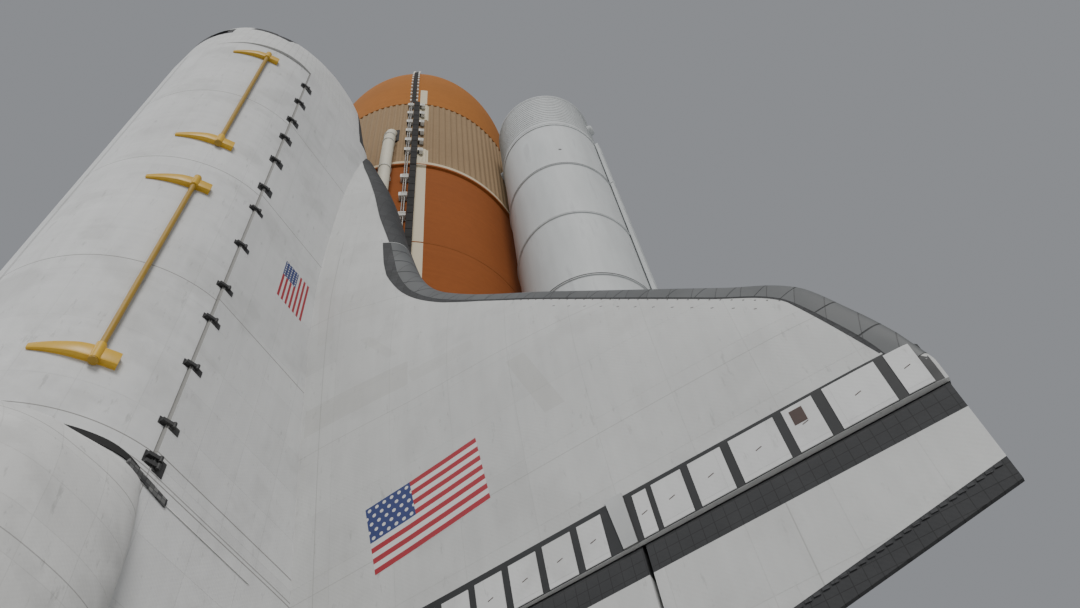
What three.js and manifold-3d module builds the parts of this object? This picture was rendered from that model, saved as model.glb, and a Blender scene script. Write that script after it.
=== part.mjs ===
// A space shuttle stack at half size: orbiter, external tank and two boosters,
// standing on the booster skirts with the orbiter's back towards -Y and its nose up.
import * as THREE from 'three';
import { mergeVertices } from 'three/addons/utils/BufferGeometryUtils.js';
import Module from 'manifold-3d';

const wasm = await Module();
wasm.setup();

// Driving dimensions. The real craft is laid out in inches on three station axes:
// x runs aft, y to starboard and z up from the belly. They stay its units here.
const modelScale = 0.5;
const inch = 25.4 * modelScale;
const floorStation = 1732.64;
const fit = 0.4 / inch;
const running = 5.4 / inch;
const rad = Math.PI / 180;

const bay = { start: 582, end: 1302, middle: 400, radius: 90, sill: 414, crown: 398, outer: 104, skin: 6 };
const hull = { side: 105, aftEnd: 1512, cabinWall: 5, aftWall: 8, over: 520 };
const hingeBar = { r: 1.2, z: 410.6, half: 4 };
const hinges = {
  x: [634, 690, 749, 800, 860, 925, 971, 1036, 1103, 1146, 1204, 1264, 1292],
  y: hull.side + hingeBar.r + fit,
};
const airlock = { z: 366, r: 18 };
const hatch = { x: 490, z: 362, r: 20, thick: 5 };
const wing = { root: 105, tip: 465.5, hingeX: 1387, split: 313.5, inner: 119, dihedral: 0.0612, belly: 268 };
const tail = {
  rootX: 1280.9, rootZ: 503, tipX: 1596.6, tipZ: 818.7, tipChord: 108.5, rootChord: 268.5,
  hingeTipX: 1665, hingeLean: 34.83, rootHalf: 14, tipHalf: 5,
};
const flap = { x: 1532, z: 282, chord: 81, half: 118, nose: 9.5 };
const engine = { length: 168, exit: 47, head: 8, wall: 2, port: 54, postR: [22, 9] };
const orbitEngine = { x: 1518, y: 88, z: 492, length: 70, exit: 22, head: 5, wall: 1.6 };
const tank = {
  z: 63.5, r: 165.5, flange: 168.8, tip: -418.5, tangent: 14, ogive: 612, top: 111.8, bottom: 388.9,
  ring: 1317, dome: 116,
};
const booster = {
  y: 250.5, r: 73, tip: 2, cap: 77, frustum: 197, caseTop: 333.5, skirt: 1639, pivot: 1650, exitX: 1719,
};

// Finishes
function finish(color, roughness, metalness = 0) {
  return new THREE.MeshStandardMaterial({ color, roughness, metalness });
}
const finishes = {
  blanket: finish(0xd9d7d0, 0.9),
  blackTile: finish(0x2a2b2d, 0.8),
  carbon: finish(0x6d7176, 0.6),
  glass: finish(0x11161b, 0.1),
  brace: finish(0xd8a017, 0.5),
  engineMetal: finish(0x8f8a80, 0.4, 0.8),
  foam: finish(0xb5602f, 0.95),
  foamPale: finish(0xc98b5a, 0.95),
  boosterWhite: finish(0xe2e2de, 0.6),
  strut: finish(0xcfcabd, 0.5),
  tray: finish(0x3a3836, 0.7),
  charred: finish(0x333333, 0.8),
};

// Solids: a closed skin becomes a solid that can be joined and cut
function solid(geometry) {
  const bare = geometry.clone();
  bare.deleteAttribute('normal');
  bare.deleteAttribute('uv');
  const merged = mergeVertices(bare, 1e-4);
  const index = merged.index.array;
  const place = merged.attributes.position;
  const kept = [];
  const [a, b, c] = [new THREE.Vector3(), new THREE.Vector3(), new THREE.Vector3()];
  let volume = 0;
  for (let i = 0; i < index.length; i += 3) {
    const [p, q, r] = [index[i], index[i + 1], index[i + 2]];
    if (p === q || q === r || r === p) continue;
    kept.push(p, q, r);
    a.fromBufferAttribute(place, p);
    b.fromBufferAttribute(place, q);
    c.fromBufferAttribute(place, r);
    volume += a.dot(b.cross(c));
  }
  if (volume < 0) kept.reverse();
  const mesh = new wasm.Mesh({
    numProp: 3,
    vertProperties: new Float32Array(place.array),
    triVerts: new Uint32Array(kept),
  });
  return new wasm.Manifold(mesh);
}

function geometryOf(body) {
  const mesh = body.getMesh();
  const geometry = new THREE.BufferGeometry();
  geometry.setAttribute('position', new THREE.BufferAttribute(mesh.vertProperties, 3));
  geometry.setIndex(new THREE.BufferAttribute(mesh.triVerts, 1));
  return geometry;
}

const join = (...bodies) => bodies.reduce((whole, body) => whole.add(body));
const cut = (body, ...tools) => tools.reduce((rest, tool) => rest.subtract(tool), body);

function mirrored(body) {
  return solid(geometryOf(body).scale(1, -1, 1));
}

// a closed skin through equal rings of points, flat at both ends
function loft(rings) {
  const count = rings[0].length;
  const points = rings.flat();
  const faces = [];
  for (let r = 0; r + 1 < rings.length; r += 1) {
    for (let i = 0; i < count; i += 1) {
      const next = (i + 1) % count;
      const [p, q] = [r * count + i, r * count + next];
      faces.push(p, q, q + count, p, q + count, p + count);
    }
  }
  for (const [ring, first] of [[rings[0], 0], [rings.at(-1), points.length - count]]) {
    const flat = flattened(ring);
    const turn = Math.sign(THREE.ShapeUtils.area(flat));
    const wanted = first === 0 ? -turn : turn;
    for (const face of THREE.ShapeUtils.triangulateShape(flat, [])) {
      const corners = face.map((i) => flat[i]);
      const ordered = Math.sign(THREE.ShapeUtils.area(corners)) === wanted ? face : [...face].reverse();
      faces.push(...ordered.map((i) => first + i));
    }
  }
  const geometry = new THREE.BufferGeometry();
  geometry.setAttribute('position', new THREE.Float32BufferAttribute(points.flatMap((p) => p.toArray()), 3));
  geometry.setIndex(faces);
  return solid(geometry);
}

// a ring's points on the plane that it faces most
function flattened(ring) {
  const normal = new THREE.Vector3();
  ring.forEach((point, i) => {
    const next = ring[(i + 1) % ring.length];
    normal.x += (point.y - next.y) * (point.z + next.z);
    normal.y += (point.z - next.z) * (point.x + next.x);
    normal.z += (point.x - next.x) * (point.y + next.y);
  });
  const size = normal.toArray().map(Math.abs);
  const along = size.indexOf(Math.max(...size));
  const keys = [['y', 'z'], ['z', 'x'], ['x', 'y']][along];
  return ring.map((p) => new THREE.Vector2(p[keys[0]], p[keys[1]]));
}

const at = (x, y, z) => new THREE.Vector3(x, y, z);

function box(x0, x1, y0, y1, z0, z1) {
  const shape = new THREE.BoxGeometry(x1 - x0, y1 - y0, z1 - z0);
  return solid(shape.translate((x0 + x1) / 2, (y0 + y1) / 2, (z0 + z1) / 2));
}

// a body turned about a line parallel to x, from rows of x and radius
function turned(profile, segments, y = 0, z = 0) {
  const shape = new THREE.LatheGeometry(profile.map(([x, r]) => new THREE.Vector2(r, x)), segments);
  return solid(shape.rotateZ(-Math.PI / 2).translate(0, y, z));
}

// a round bar, tapered where its two radii differ
function bar(from, to, r0, r1 = r0, sides = 12) {
  const along = to.clone().sub(from).normalize();
  const helper = Math.abs(along.x) > 0.8 ? at(0, 0, 1) : at(1, 0, 0);
  const u = helper.cross(along).normalize();
  const v = along.clone().cross(u);
  const ring = (centre, r) => Array.from({ length: sides }, (_, i) => {
    const t = (i * 2 * Math.PI) / sides;
    return centre.clone().addScaledVector(u, r * Math.cos(t)).addScaledVector(v, r * Math.sin(t));
  });
  return loft([ring(from, r0), ring(to, r1)]);
}

// a flat plate seen in plan or in side view, between two levels of the third axis
const planPlate = (points, z0, z1) => loft([z0, z1].map((z) => points.map(([x, y]) => at(x, y, z))));
const sidePlate = (points, y0, y1) => loft([y0, y1].map((y) => points.map(([x, z]) => at(x, y, z))));
const crossPlate = (points, x0, x1) => loft([x0, x1].map((x) => points.map(([y, z]) => at(x, y, z))));

function arcPoints(y, z, r, fromDeg, toDeg, steps) {
  return Array.from({ length: steps + 1 }, (_, i) => {
    const t = (fromDeg + ((toDeg - fromDeg) * i) / steps) * rad;
    return [y + r * Math.cos(t), z + r * Math.sin(t)];
  });
}

// a body turned to lie along a direction from a pivot
function aimed(body, pivot, direction) {
  const turn = new THREE.Quaternion().setFromUnitVectors(at(1, 0, 0), direction.clone().normalize());
  const move = new THREE.Matrix4().compose(pivot, turn, at(1, 1, 1));
  return solid(geometryOf(body).applyMatrix4(move));
}

// Orbiter hull sections. crown and belly are the powers of the rounded outline above and below mid.
const hullColumns = ['x', 'w', 'mid', 'top', 'bottom', 'crown', 'belly'];
const hullRows = [
  [236, 1, 340, 341, 339, 2, 2],
  [238, 8, 340, 348, 331, 2, 2],
  [244, 17, 340, 358, 321, 2, 2],
  [256, 28, 340, 370, 307, 2, 2.2],
  [280, 43, 341, 386, 295, 2, 2.5],
  [320, 57, 344, 407, 288, 2, 2.9],
  [370, 72, 350, 425, 286, 2.1, 3.3],
  [407, 81, 357, 438, 285, 2.2, 3.7],
  [426, 85, 361, 461, 284.5, 2.3, 4],
  [446, 89, 366, 480, 284, 2.2, 4.3],
  [475, 93, 378, 495, 283.5, 2.1, 4.8],
  [500, 96, 388, 500, 283, 2, 5.2],
  [540, 100, 402, 501, 282, 1.95, 6],
  [582, 104, 413, 502, 281, 1.9, 8],
  [700, 105, 414, 502, 277, 1.9, 14],
  [1302, 105, 414, 502, 267, 1.9, 14],
  [1512, 105, 414, 502, 267, 1.9, 14],
].map((row) => Object.fromEntries(row.map((value, i) => [hullColumns[i], value])));

const hullSteps = 24;
const cavityRows = [407, 446, 500];

function hullRow(x) {
  const next = hullRows.findIndex((row) => row.x >= x);
  if (hullRows[next].x === x) return hullRows[next];
  const [a, b] = [hullRows[next - 1], hullRows[next]];
  const share = (x - a.x) / (b.x - a.x);
  return Object.fromEntries(hullColumns.map((key) => [key, a[key] + (b[key] - a[key]) * share]));
}

function hullRing(row, inset = 0) {
  return Array.from({ length: hullSteps }, (_, i) => {
    const t = (i * 2 * Math.PI) / hullSteps;
    const power = 2 / (Math.sin(t) >= 0 ? row.crown : row.belly);
    const reach = (Math.sin(t) >= 0 ? row.top - row.mid : row.mid - row.bottom) - inset;
    const swell = (value) => Math.sign(value) * Math.abs(value) ** power;
    return at(row.x, (row.w - inset) * swell(Math.cos(t)), row.mid + reach * swell(Math.sin(t)));
  });
}

function hullBetween(x0, x1, inset = 0) {
  const rows = hullRows.filter((row) => row.x > x0 && row.x < x1 && (inset <= 0 || cavityRows.includes(row.x)));
  return loft([hullRow(x0), ...rows, hullRow(x1)].map((row) => hullRing(row, inset)));
}

const pieces = [];
const add = (name, body, material) => pieces.push({ name, body, material });
function addPair(name, body, material) {
  add(`${name}_right`, body, material);
  add(`${name}_left`, mirrored(body), material);
}

// Nose cap and forward fuselage with its cabin, windows, hatch ring and airlock door
const capEnd = 258;
add('nose_cap', hullBetween(236, capEnd - fit), finishes.carbon);

const windowColumns = ['x', 'y', 'z', 'wide', 'tall', 'yaw', 'lean'];
const windows = [
  [424, 19, 457, 30, 30, 6, 46],
  [437, 51, 449, 28, 27, 34, 38],
  [463, 74, 446, 27, 24, 66, 30],
  [505, 22, 500, 22, 22, 0, 88],
].map((row) => Object.fromEntries(row.map((value, i) => [windowColumns[i], value])));

function windowTool(row, side) {
  const shape = new THREE.BoxGeometry(36, row.wide, row.tall);
  shape.rotateY(row.lean * rad).rotateZ(-row.yaw * rad);
  const body = solid(shape.translate(row.x, row.y, row.z));
  return side > 0 ? body : mirrored(body);
}

const cabin = { start: 372, end: 574 };
const windowTools = windows.flatMap((row) => [windowTool(row, 1), windowTool(row, -1)]);
const hatchY = hullRow(hatch.x).w;
const hatchHinge = { y: -(hatchY + 1.2), z: hatch.z - hatch.r - 2.2, r: 1.1 };
const hatchPad = box(hatch.x - 9, hatch.x + 9, hatchHinge.y + hatchHinge.r + fit, -hatchY + 4,
  hatchHinge.z - 3, hatchHinge.z + 1.2);
const hatchCone = (extra) => bar(at(hatch.x, -(hatchY - 9), hatch.z), at(hatch.x, -(hatchY + 6), hatch.z),
  hatch.r - 2.4 + extra, hatch.r + extra, 28);
const forwardShell = cut(
  hullBetween(capEnd, bay.start - fit),
  hullBetween(cabin.start, cabin.end, hull.cabinWall),
  ...windowTools,
  hatchCone(running),
  bar(at(cabin.end - 4, 0, airlock.z), at(bay.start + 4, 0, airlock.z), airlock.r, airlock.r, 24),
);
add('forward_fuselage', join(forwardShell, hatchPad), finishes.blanket);

const glassBox = box(402, 518, -90, 90, 432, 510);
const cabinGlass = cut(
  hullBetween(cabin.start, cabin.end, hull.cabinWall + fit),
  hullBetween(cabin.start, cabin.end, hull.cabinWall + 2),
).intersect(glassBox);
add('cabin_windows', cabinGlass, finishes.glass);

const deck = { z: 408, thick: 3 };
const deckShape = hullBetween(cabin.start, cabin.end, hull.cabinWall + fit)
  .intersect(box(cabin.start + 30, cabin.end - 14, -100, 100, deck.z, deck.z + deck.thick));
const deckConsole = sidePlate([[418, 410], [440, 410], [452, 436], [440, 442], [426, 430]], -38, 38);
const seatOutline = [[470, 410.5], [488, 410.5], [488, 424], [497, 458], [492, 460], [483, 428], [466, 427]];
const seat = (y) => sidePlate(seatOutline, y - 9, y + 9);
add('flight_deck', join(deckShape, deckConsole, seat(28), seat(-28)), finishes.tray);

const hatchDoor = cut(
  hullBetween(440, 540).intersect(hatchCone(0)),
  hullBetween(440, 540, hatch.thick),
);
const hatchArm = crossPlate([[hatchHinge.y - 0.9, hatchHinge.z], [hatchHinge.y + 0.9, hatchHinge.z],
  [-hatchY - 0.2, hatchHinge.z + 3], [1 - hatchY, hatchHinge.z + 4.6], [1 - hatchY, hatchHinge.z + 8],
  [-hatchY - 1, hatchHinge.z + 8], [hatchHinge.y - 0.9, hatchHinge.z + 3]], hatch.x - 5, hatch.x + 5);
const hatchBar = bar(at(hatch.x - 8, hatchHinge.y, hatchHinge.z), at(hatch.x + 8, hatchHinge.y, hatchHinge.z),
  hatchHinge.r, hatchHinge.r, 16);
add('crew_hatch', join(hatchDoor, hatchArm, hatchBar), finishes.blanket);

// Mid fuselage: a trough under the payload bay, then the two doors with their hinge bars
const bayTool = bar(at(bay.start - 5, 0, bay.middle), at(bay.end + 5, 0, bay.middle),
  bay.radius, bay.radius, 48);
const overSill = box(bay.start - 5, bay.end + 5, -120, 120, bay.sill, hull.over);
add('mid_fuselage', cut(hullBetween(bay.start, bay.end - fit), bayTool, overSill), finishes.blanket);

const doorArc = { outer: [9.05, 89.88], inner: [89.87, 9.7], steps: 14 };
const doorSection = [
  ...arcPoints(0, bay.crown, bay.outer, ...doorArc.outer, doorArc.steps),
  ...arcPoints(0, bay.crown, bay.outer - bay.skin, ...doorArc.inner, doorArc.steps),
];
const doorShell = crossPlate(doorSection, bay.start + running, bay.end - running);
const sillPlane = bay.sill + running;
const hingeArm = (x) => join(
  bar(at(x - hingeBar.half, hinges.y, hingeBar.z), at(x + hingeBar.half, hinges.y, hingeBar.z),
    hingeBar.r, hingeBar.r, 6),
  crossPlate([[hinges.y - 0.9, hingeBar.z], [hinges.y + 0.9, hingeBar.z], [hinges.y + 0.6, sillPlane + 5],
    [101, sillPlane + 5], [101, sillPlane], [hinges.y - 0.9, sillPlane]], x - 2.5, x + 2.5),
);
addPair('payload_door', join(
  cut(doorShell, box(bay.start, bay.end, 80, 120, bay.sill - 24, sillPlane)),
  ...hinges.x.map(hingeArm),
), finishes.blanket);

// Yellow braces over the doors: a long bar with a curved arm near each end
const braces = {
  angle: 35.5, seat: bay.outer + 0.12, r: 2, barR: 107.6, armStart: 29, armReach: 25, armHigh: 4.6,
};
const braceRows = [['forward', 615, 900], ['aft', 980, 1245]];
const armEnd = braces.armStart + braces.armReach;
const armSection = [
  ...arcPoints(0, bay.crown, braces.seat + braces.armHigh, braces.armStart, armEnd, 6),
  ...arcPoints(0, bay.crown, braces.seat, armEnd + 1.5, braces.armStart, 6),
];
for (const [name, x0, x1] of braceRows) {
  const [y, z] = arcPoints(0, bay.crown, braces.barR, braces.angle, braces.angle, 1)[0];
  const rod = bar(at(x0, y, z), at(x1, y, z), braces.r, braces.r, 10);
  const arms = [[x0 + 2, x0 + 14], [x1 - 14, x1 - 2]].map(([a, b]) => crossPlate(armSection, a, b));
  addPair(`door_brace_${name}`, join(rod, ...arms), finishes.brace);
}

// Aft fuselage: hollow behind the bay, with three round engine ports in its base
const mainEngines = [
  { name: 'upper', x: 1445, y: 0, z: 443, up: 16, out: 0 },
  { name: 'right', x: 1468.17, y: 53, z: 342.64, up: 10, out: 3.5 },
  { name: 'left', x: 1468.17, y: -53, z: 342.64, up: 10, out: -3.5 },
];
const pointing = (row) => at(Math.cos(row.up * rad), Math.sin(row.out * rad), Math.sin(row.up * rad));
const portTool = turned([[0, 0], [0, engine.port], [110, engine.port], [110, 0]], 20);
const enginePort = (row) => aimed(portTool, at(row.x - 8, row.y, row.z), pointing(row));
const thrustPost = (row) => bar(at(bay.end + 16, row.y, row.z), at(row.x - engine.head - fit, row.y, row.z),
  ...engine.postR, 12);
const aftSolid = hullBetween(bay.end, hull.aftEnd);
const aftHollow = hullBetween(bay.end + 20, hull.aftEnd - 14, hull.aftWall);
const shelfEnd = flap.x - 5;
const flapShelf = sidePlate([[hull.aftEnd - 20, wing.belly], [shelfEnd, wing.belly], [shelfEnd, 297],
  [hull.aftEnd - 20, 301]], -104, 104);
const flapNose = (r) => bar(at(flap.x, -flap.half - 2, flap.z), at(flap.x, flap.half + 2, flap.z), r, r, 60);
const aftBody = join(
  cut(aftSolid, aftHollow, ...mainEngines.map(enginePort)),
  ...mainEngines.map(thrustPost),
  flapShelf,
);
add('aft_fuselage', cut(aftBody, flapNose(flap.nose + fit + 0.05)), finishes.blanket);

const flapRing = (y) => [
  ...arcPoints(flap.x, flap.z, flap.nose, 84, 276, 18).map(([x, z]) => at(x, y, z)),
  at(flap.x + flap.chord, y, flap.z - 9.2),
  at(flap.x + flap.chord, y, flap.z - 6.4),
];
add('body_flap', loft([flapRing(-flap.half), flapRing(flap.half)]), finishes.blackTile);

// Main engines: a rounded head, the powerhead drum and a hollow bell, along x from the gimbal
const throat = { x: 47, r: 13 };
const bellRadius = (u) => throat.r + (engine.exit - throat.r) * (1 - (1 - u) ** 1.9) ** 0.82;
const bellRow = (u) => [throat.x + (engine.length - throat.x) * u, bellRadius(u)];
const bellRows = [0, 0.12, 0.3, 0.55, 0.78, 1].map(bellRow);
const engineBody = cut(
  turned([[4, 0], [4, 7], [10, 12], [12, 30], [30, 34], [44, 24], ...bellRows, [engine.length, 0]], 18),
  turned([[52, 0], ...bellRows.slice(1, -1).map(([x, r]) => [x, r - engine.wall]),
    [engine.length + 1, engine.exit - engine.wall], [engine.length + 1, 0]], 18),
);
for (const row of mainEngines) {
  const head = bar(at(row.x, row.y - 7, row.z), at(row.x, row.y + 7, row.z), engine.head, engine.head, 24);
  const body = aimed(engineBody, at(row.x, row.y, row.z), pointing(row));
  add(`main_engine_${row.name}`, join(body, head), finishes.engineMetal);
}

// Orbital manoeuvring pods on the aft shoulders and their engines
const podColumns = ['x', 'y', 'z', 'w', 'h'];
const podRows = [
  [1306, 76, 458, 22, 18],
  [1316, 78, 461, 32, 32],
  [1345, 80, 464, 40, 42],
  [1400, 81, 467, 46, 50],
  [1470, 82, 469, 50, 54],
  [1540, 84, 470, 50, 55],
  [1555, 84, 470, 48, 53],
].map((row) => Object.fromEntries(row.map((value, i) => [podColumns[i], value])));
const podRing = (row) => Array.from({ length: 20 }, (_, i) => {
  const t = (i * 2 * Math.PI) / 20;
  const round = (value) => Math.sign(value) * Math.abs(value) ** 0.86;
  return at(row.x, row.y + row.w * round(Math.cos(t)), row.z + row.h * round(Math.sin(t)));
});
const finGap = box(1290, 1600, -17, 17, 480, 560);
const underPod = box(1290, 1600, 0, 160, 380, 419);
const shoulderTool = hullBetween(bay.end, hull.aftEnd, -fit);
const orbitPivot = at(orbitEngine.x, orbitEngine.y, orbitEngine.z);
const orbitWay = pointing({ up: 15.8, out: 6.5 });
const podRecess = aimed(turned([[-16, 0], [-16, 24], [70, 32], [70, 0]], 20), orbitPivot, orbitWay);
const postEnd = orbitEngine.x - orbitEngine.head - fit;
const podPost = bar(at(1495, orbitEngine.y, orbitEngine.z), at(postEnd, orbitEngine.y, orbitEngine.z),
  7, 5, 12);
const thrusters = box(1528, 1562, 112, 133, 446, 478);
const besidePort = box(1505, 1600, -5, 66, 380, 560);
const podWhole = join(loft(podRows.map(podRing)), thrusters);
const podBody = cut(podWhole, shoulderTool, finGap, underPod, podRecess, besidePort);
addPair('pod', join(podBody, podPost), finishes.blanket);

const smallBell = cut(
  turned([[0, 0], [0, 4], [5, 9], [18, 10], [24, 6], [34, 10], [48, 17], [orbitEngine.length, orbitEngine.exit],
    [orbitEngine.length, 0]], 14),
  turned([[26, 0], [34, 8.6], [48, 15.4], [orbitEngine.length + 1, orbitEngine.exit - orbitEngine.wall],
    [orbitEngine.length + 1, 0]], 14),
);
addPair('pod_engine', join(
  aimed(smallBell, orbitPivot, orbitWay),
  bar(at(orbitEngine.x, orbitEngine.y - 5, orbitEngine.z), at(orbitEngine.x, orbitEngine.y + 5, orbitEngine.z),
    orbitEngine.head, orbitEngine.head, 24),
), finishes.engineMetal);

// Vertical tail, its hinge drive and the two split rudder panels
const hingeSlope = Math.tan(tail.hingeLean * rad);
const hingeX = (z) => tail.hingeTipX + (z - tail.tipZ) * hingeSlope;
const leadX = (z) => tail.rootX + (z - tail.rootZ);
const backX = (z) => tail.rootX + tail.rootChord
  + ((z - tail.rootZ) * (tail.tipX + tail.tipChord - tail.rootX - tail.rootChord)) / (tail.tipZ - tail.rootZ);
const tailThick = (z) => tail.rootHalf
  - ((tail.rootHalf - tail.tipHalf) * (z - tail.rootZ)) / (tail.tipZ - tail.rootZ);
const rudder = { bottom: 566, top: 808, drive: 2.2 };
const finEnd = (z) => hingeX(z) - tailThick(z) * 0.95;
const tailRing = (z) => {
  const [front, back, half] = [Math.max(leadX(z), bay.end + 6), finEnd(z), tailThick(z)];
  const chord = back - front;
  const upper = [[0, 0], [0.012, 0.24], [0.06, 0.5], [0.2, 0.8], [0.45, 1], [0.75, 0.96], [1, 0.82]];
  const lower = upper.slice(1).reverse().map(([u, t]) => [u, -t]);
  return [...upper, ...lower].map(([u, t]) => at(front + u * chord, t * half, z));
};
const beside = fit * 1.3;
const foot = { low: 494, lowEnd: 1480, top: 563, topEnd: 1545, half: 9.5 };
const tailFoot = sidePlate([[finEnd(foot.low) + beside, foot.low], [foot.lowEnd, foot.low],
  [foot.topEnd, foot.top], [finEnd(foot.top) + beside, foot.top]], -foot.half, foot.half);
const cap = { z: 813.5, half: 4.4 };
const tailCap = sidePlate([[finEnd(cap.z) + beside, cap.z], [backX(cap.z), cap.z],
  [tail.tipX + tail.tipChord, tail.tipZ], [finEnd(tail.tipZ) + beside, tail.tipZ]], -cap.half, cap.half);
const hingePoint = (z) => at(hingeX(z), 0, z);
const seatSpans = [575, 660, 735, 800].map((z) => [z - 5, z + 5]);
const hingeSeats = seatSpans.map(([z0, z1]) => sidePlate([[hingeX(z0) - 12, z0], [hingeX(z0) - 1, z0],
  [hingeX(z1) - 1, z1], [hingeX(z1) - 12, z1]], -1.4, 1.4));
const driveTool = bar(hingePoint(500), hingePoint(830), rudder.drive + fit, rudder.drive + fit, 24);
const tailBody = join(loft([496, 530, 600, 700, 812, tail.tipZ].map(tailRing)), ...hingeSeats);
add('vertical_tail', cut(tailBody, driveTool, shoulderTool), finishes.blanket);
add('tail_foot', cut(tailFoot, shoulderTool), finishes.blanket);
add('tail_tip', tailCap, finishes.blanket);

add('rudder_drive', bar(hingePoint(rudder.bottom), hingePoint(rudder.top - 1), rudder.drive, rudder.drive, 24),
  finishes.engineMetal);

const rudderRing = (z) => {
  const front = hingeX(z) + (rudder.drive + fit) / Math.cos(tail.hingeLean * rad);
  const [back, half] = [backX(z), tailThick(z) * 0.78];
  return [at(front, 0.25, z), at(back, 0.25, z), at(back, 0.25 + half * 0.62, z), at(front + half, half, z),
    at(front, 2.2, z)];
};
const rudderPanel = loft([rudder.bottom + 1, rudder.top - 1].map(rudderRing));
addPair('rudder_panel', rudderPanel, finishes.blanket);

// Wings. Columns are the span place, the leading edge, the crest and the heights at the aft edge.
const wingColumns = ['y', 'lead', 'leadZ', 'crest', 'crestZ', 'aftZ'];
const wingRows = [
  [101, 590, 291, 970, 333.6, 286],
  [127, 694, 293.5, 1015, 329, 287.2],
  [143, 769, 295, 1055, 324.5, 288],
  [158, 860, 296, 1092, 320.5, 289],
  [186, 990, 297, 1131, 316, 290],
  [213, 1047, 298, 1165, 313.5, 291],
  [300, 1136, 299.5, 1222, 311.5, 295],
  [400, 1236, 301, 1290, 308, 299.5],
  [434, 1271, 301.5, 1318, 306.5, 301],
  [451, 1314, 301.5, 1340, 305, 301.5],
  [460, 1342, 301, 1358, 304, 301.5],
  [wing.tip, 1366, 300, 1374, 302.5, 301],
].map((row) => Object.fromEntries(row.map((value, i) => [wingColumns[i], value])));
const wingAft = wing.hingeX;
const wingLow = (y) => wing.belly + (y - wing.root) * wing.dihedral;

function wingRing(row) {
  const noseSteps = [0, 0.03, 0.11, 0.25, 0.45, 0.7];
  const fallSteps = [0, 0.3, 0.6, 0.85, 1];
  const low = wingLow(row.y);
  const front = noseSteps.map((u) => at(row.lead + u * (row.crest - row.lead), row.y,
    row.leadZ + (row.crestZ - row.leadZ) * Math.sqrt(1 - (1 - u) ** 2)));
  const fall = fallSteps.map((v) => at(row.crest + v * (wingAft - row.crest), row.y,
    row.crestZ - (row.crestZ - row.aftZ) * v ** 1.4));
  const nose = Math.min(60, 0.5 * (wingAft - row.lead));
  const under = [1, 0.45, 0.15, 0.03].map((u) => at(row.lead + u * nose, row.y,
    row.leadZ - (row.leadZ - low) * Math.sqrt(1 - (1 - u) ** 2)));
  return [...front, ...fall, at(wingAft, row.y, low), ...under];
}

const aftZ = (y) => {
  const next = Math.max(1, wingRows.findIndex((row) => row.y >= y));
  const [a, b] = [wingRows[next - 1], wingRows[next]];
  return a.aftZ + ((b.aftZ - a.aftZ) * (y - a.y)) / (b.y - a.y);
};
const backMiddle = (y) => (aftZ(y) + wingLow(y)) / 2;
const hingeRise = (backMiddle(wing.tip) - backMiddle(wing.inner)) / (wing.tip - wing.inner);
const elevonHinge = (y) => at(wing.hingeX, y, backMiddle(wing.tip) - (wing.tip - y) * hingeRise);
const noseRadius = (y) => 9 - (4 * (y - wing.inner)) / (wing.tip - wing.inner);
const trail = { rootX: 1525.24, sweep: 0.1773 };
const trailX = (y) => trail.rootX - trail.sweep * y;

// the leading edge strip in plan: the edge line moved out in front and back over the wing
const edge = { start: 860, startY: 158, back: 13, front: 30 };
const edgeRows = wingRows.slice(4, -1).map((row) => [row.lead, row.y]);
const edgeLine = (gap) => [[edge.start - gap, edge.startY], ...edgeRows, [wingRows.at(-1).lead + gap, wing.tip]];
function movedLine(line, distance) {
  return line.map((point, i) => {
    const [before, after] = [line[Math.max(i - 1, 0)], line[Math.min(i + 1, line.length - 1)]];
    const [dx, dy] = [after[0] - before[0], after[1] - before[1]];
    const length = Math.hypot(dx, dy);
    return [point[0] - (dy / length) * distance, point[1] + (dx / length) * distance];
  });
}
const edgePlan = (gap) => [...movedLine(edgeLine(gap), edge.front),
  ...movedLine(edgeLine(gap), -edge.back - gap).reverse()];
const coveTool = (y0, y1, gap) => bar(elevonHinge(y0), elevonHinge(y1),
  noseRadius(y0) + gap, noseRadius(y1) + gap, 40);
const lipTool = loft([100, 480].map((y) => {
  const x = wing.hingeX - 0.4 * noseRadius(y) - 1;
  return [at(x, y, 240), at(x + 40, y, 240), at(x + 40, y, 330), at(x, y, 330)];
}));
const ribs = { y: [130, 296, 330, 452], x0: wing.hingeX - 15, x1: wing.hingeX - 1, high: 4, half: 3 };
const hingeRibs = ribs.y.map((y) => box(ribs.x0, ribs.x1, y - ribs.half, y + ribs.half,
  elevonHinge(y).z - ribs.high, elevonHinge(y).z + ribs.high));
const wingWhole = loft(wingRows.map(wingRing));
const besideHull = hullBetween(585, 1400, -fit);
const wingOpen = cut(wingWhole, besideHull, lipTool, coveTool(101, 480, running));
const ribTool = coveTool(101, 480, fit + 0.02);
const withoutEdge = cut(wingOpen, planPlate(edgePlan(fit), 240, 360));
const wingRight = join(withoutEdge, ...hingeRibs.map((rib) => cut(rib, ribTool)));
add('wing_right', wingRight, finishes.blanket);
add('wing_left', cut(mirrored(wingRight), besideHull), finishes.blanket);
addPair('wing_leading_edge', wingOpen.intersect(planPlate(edgePlan(0), 240, 360)), finishes.carbon);

function elevon(y0, y1) {
  const ring = (y) => {
    const pivot = elevonHinge(y);
    const nose = arcPoints(0, 0, noseRadius(y), 88, 272, 16);
    const back = trailX(y) - wing.hingeX;
    return [...nose.map(([x, z]) => at(pivot.x + x, y, pivot.z + z)), at(pivot.x + back, y, pivot.z - 2.6),
      at(pivot.x + back, y, pivot.z - 0.6)];
  };
  return loft([ring(y0), ring(y1)]);
}
addPair('elevon_inner', elevon(wing.inner, wing.split - 1), finishes.blanket);
addPair('elevon_outer', elevon(wing.split + 1, wing.tip - 1), finishes.blanket);

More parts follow.
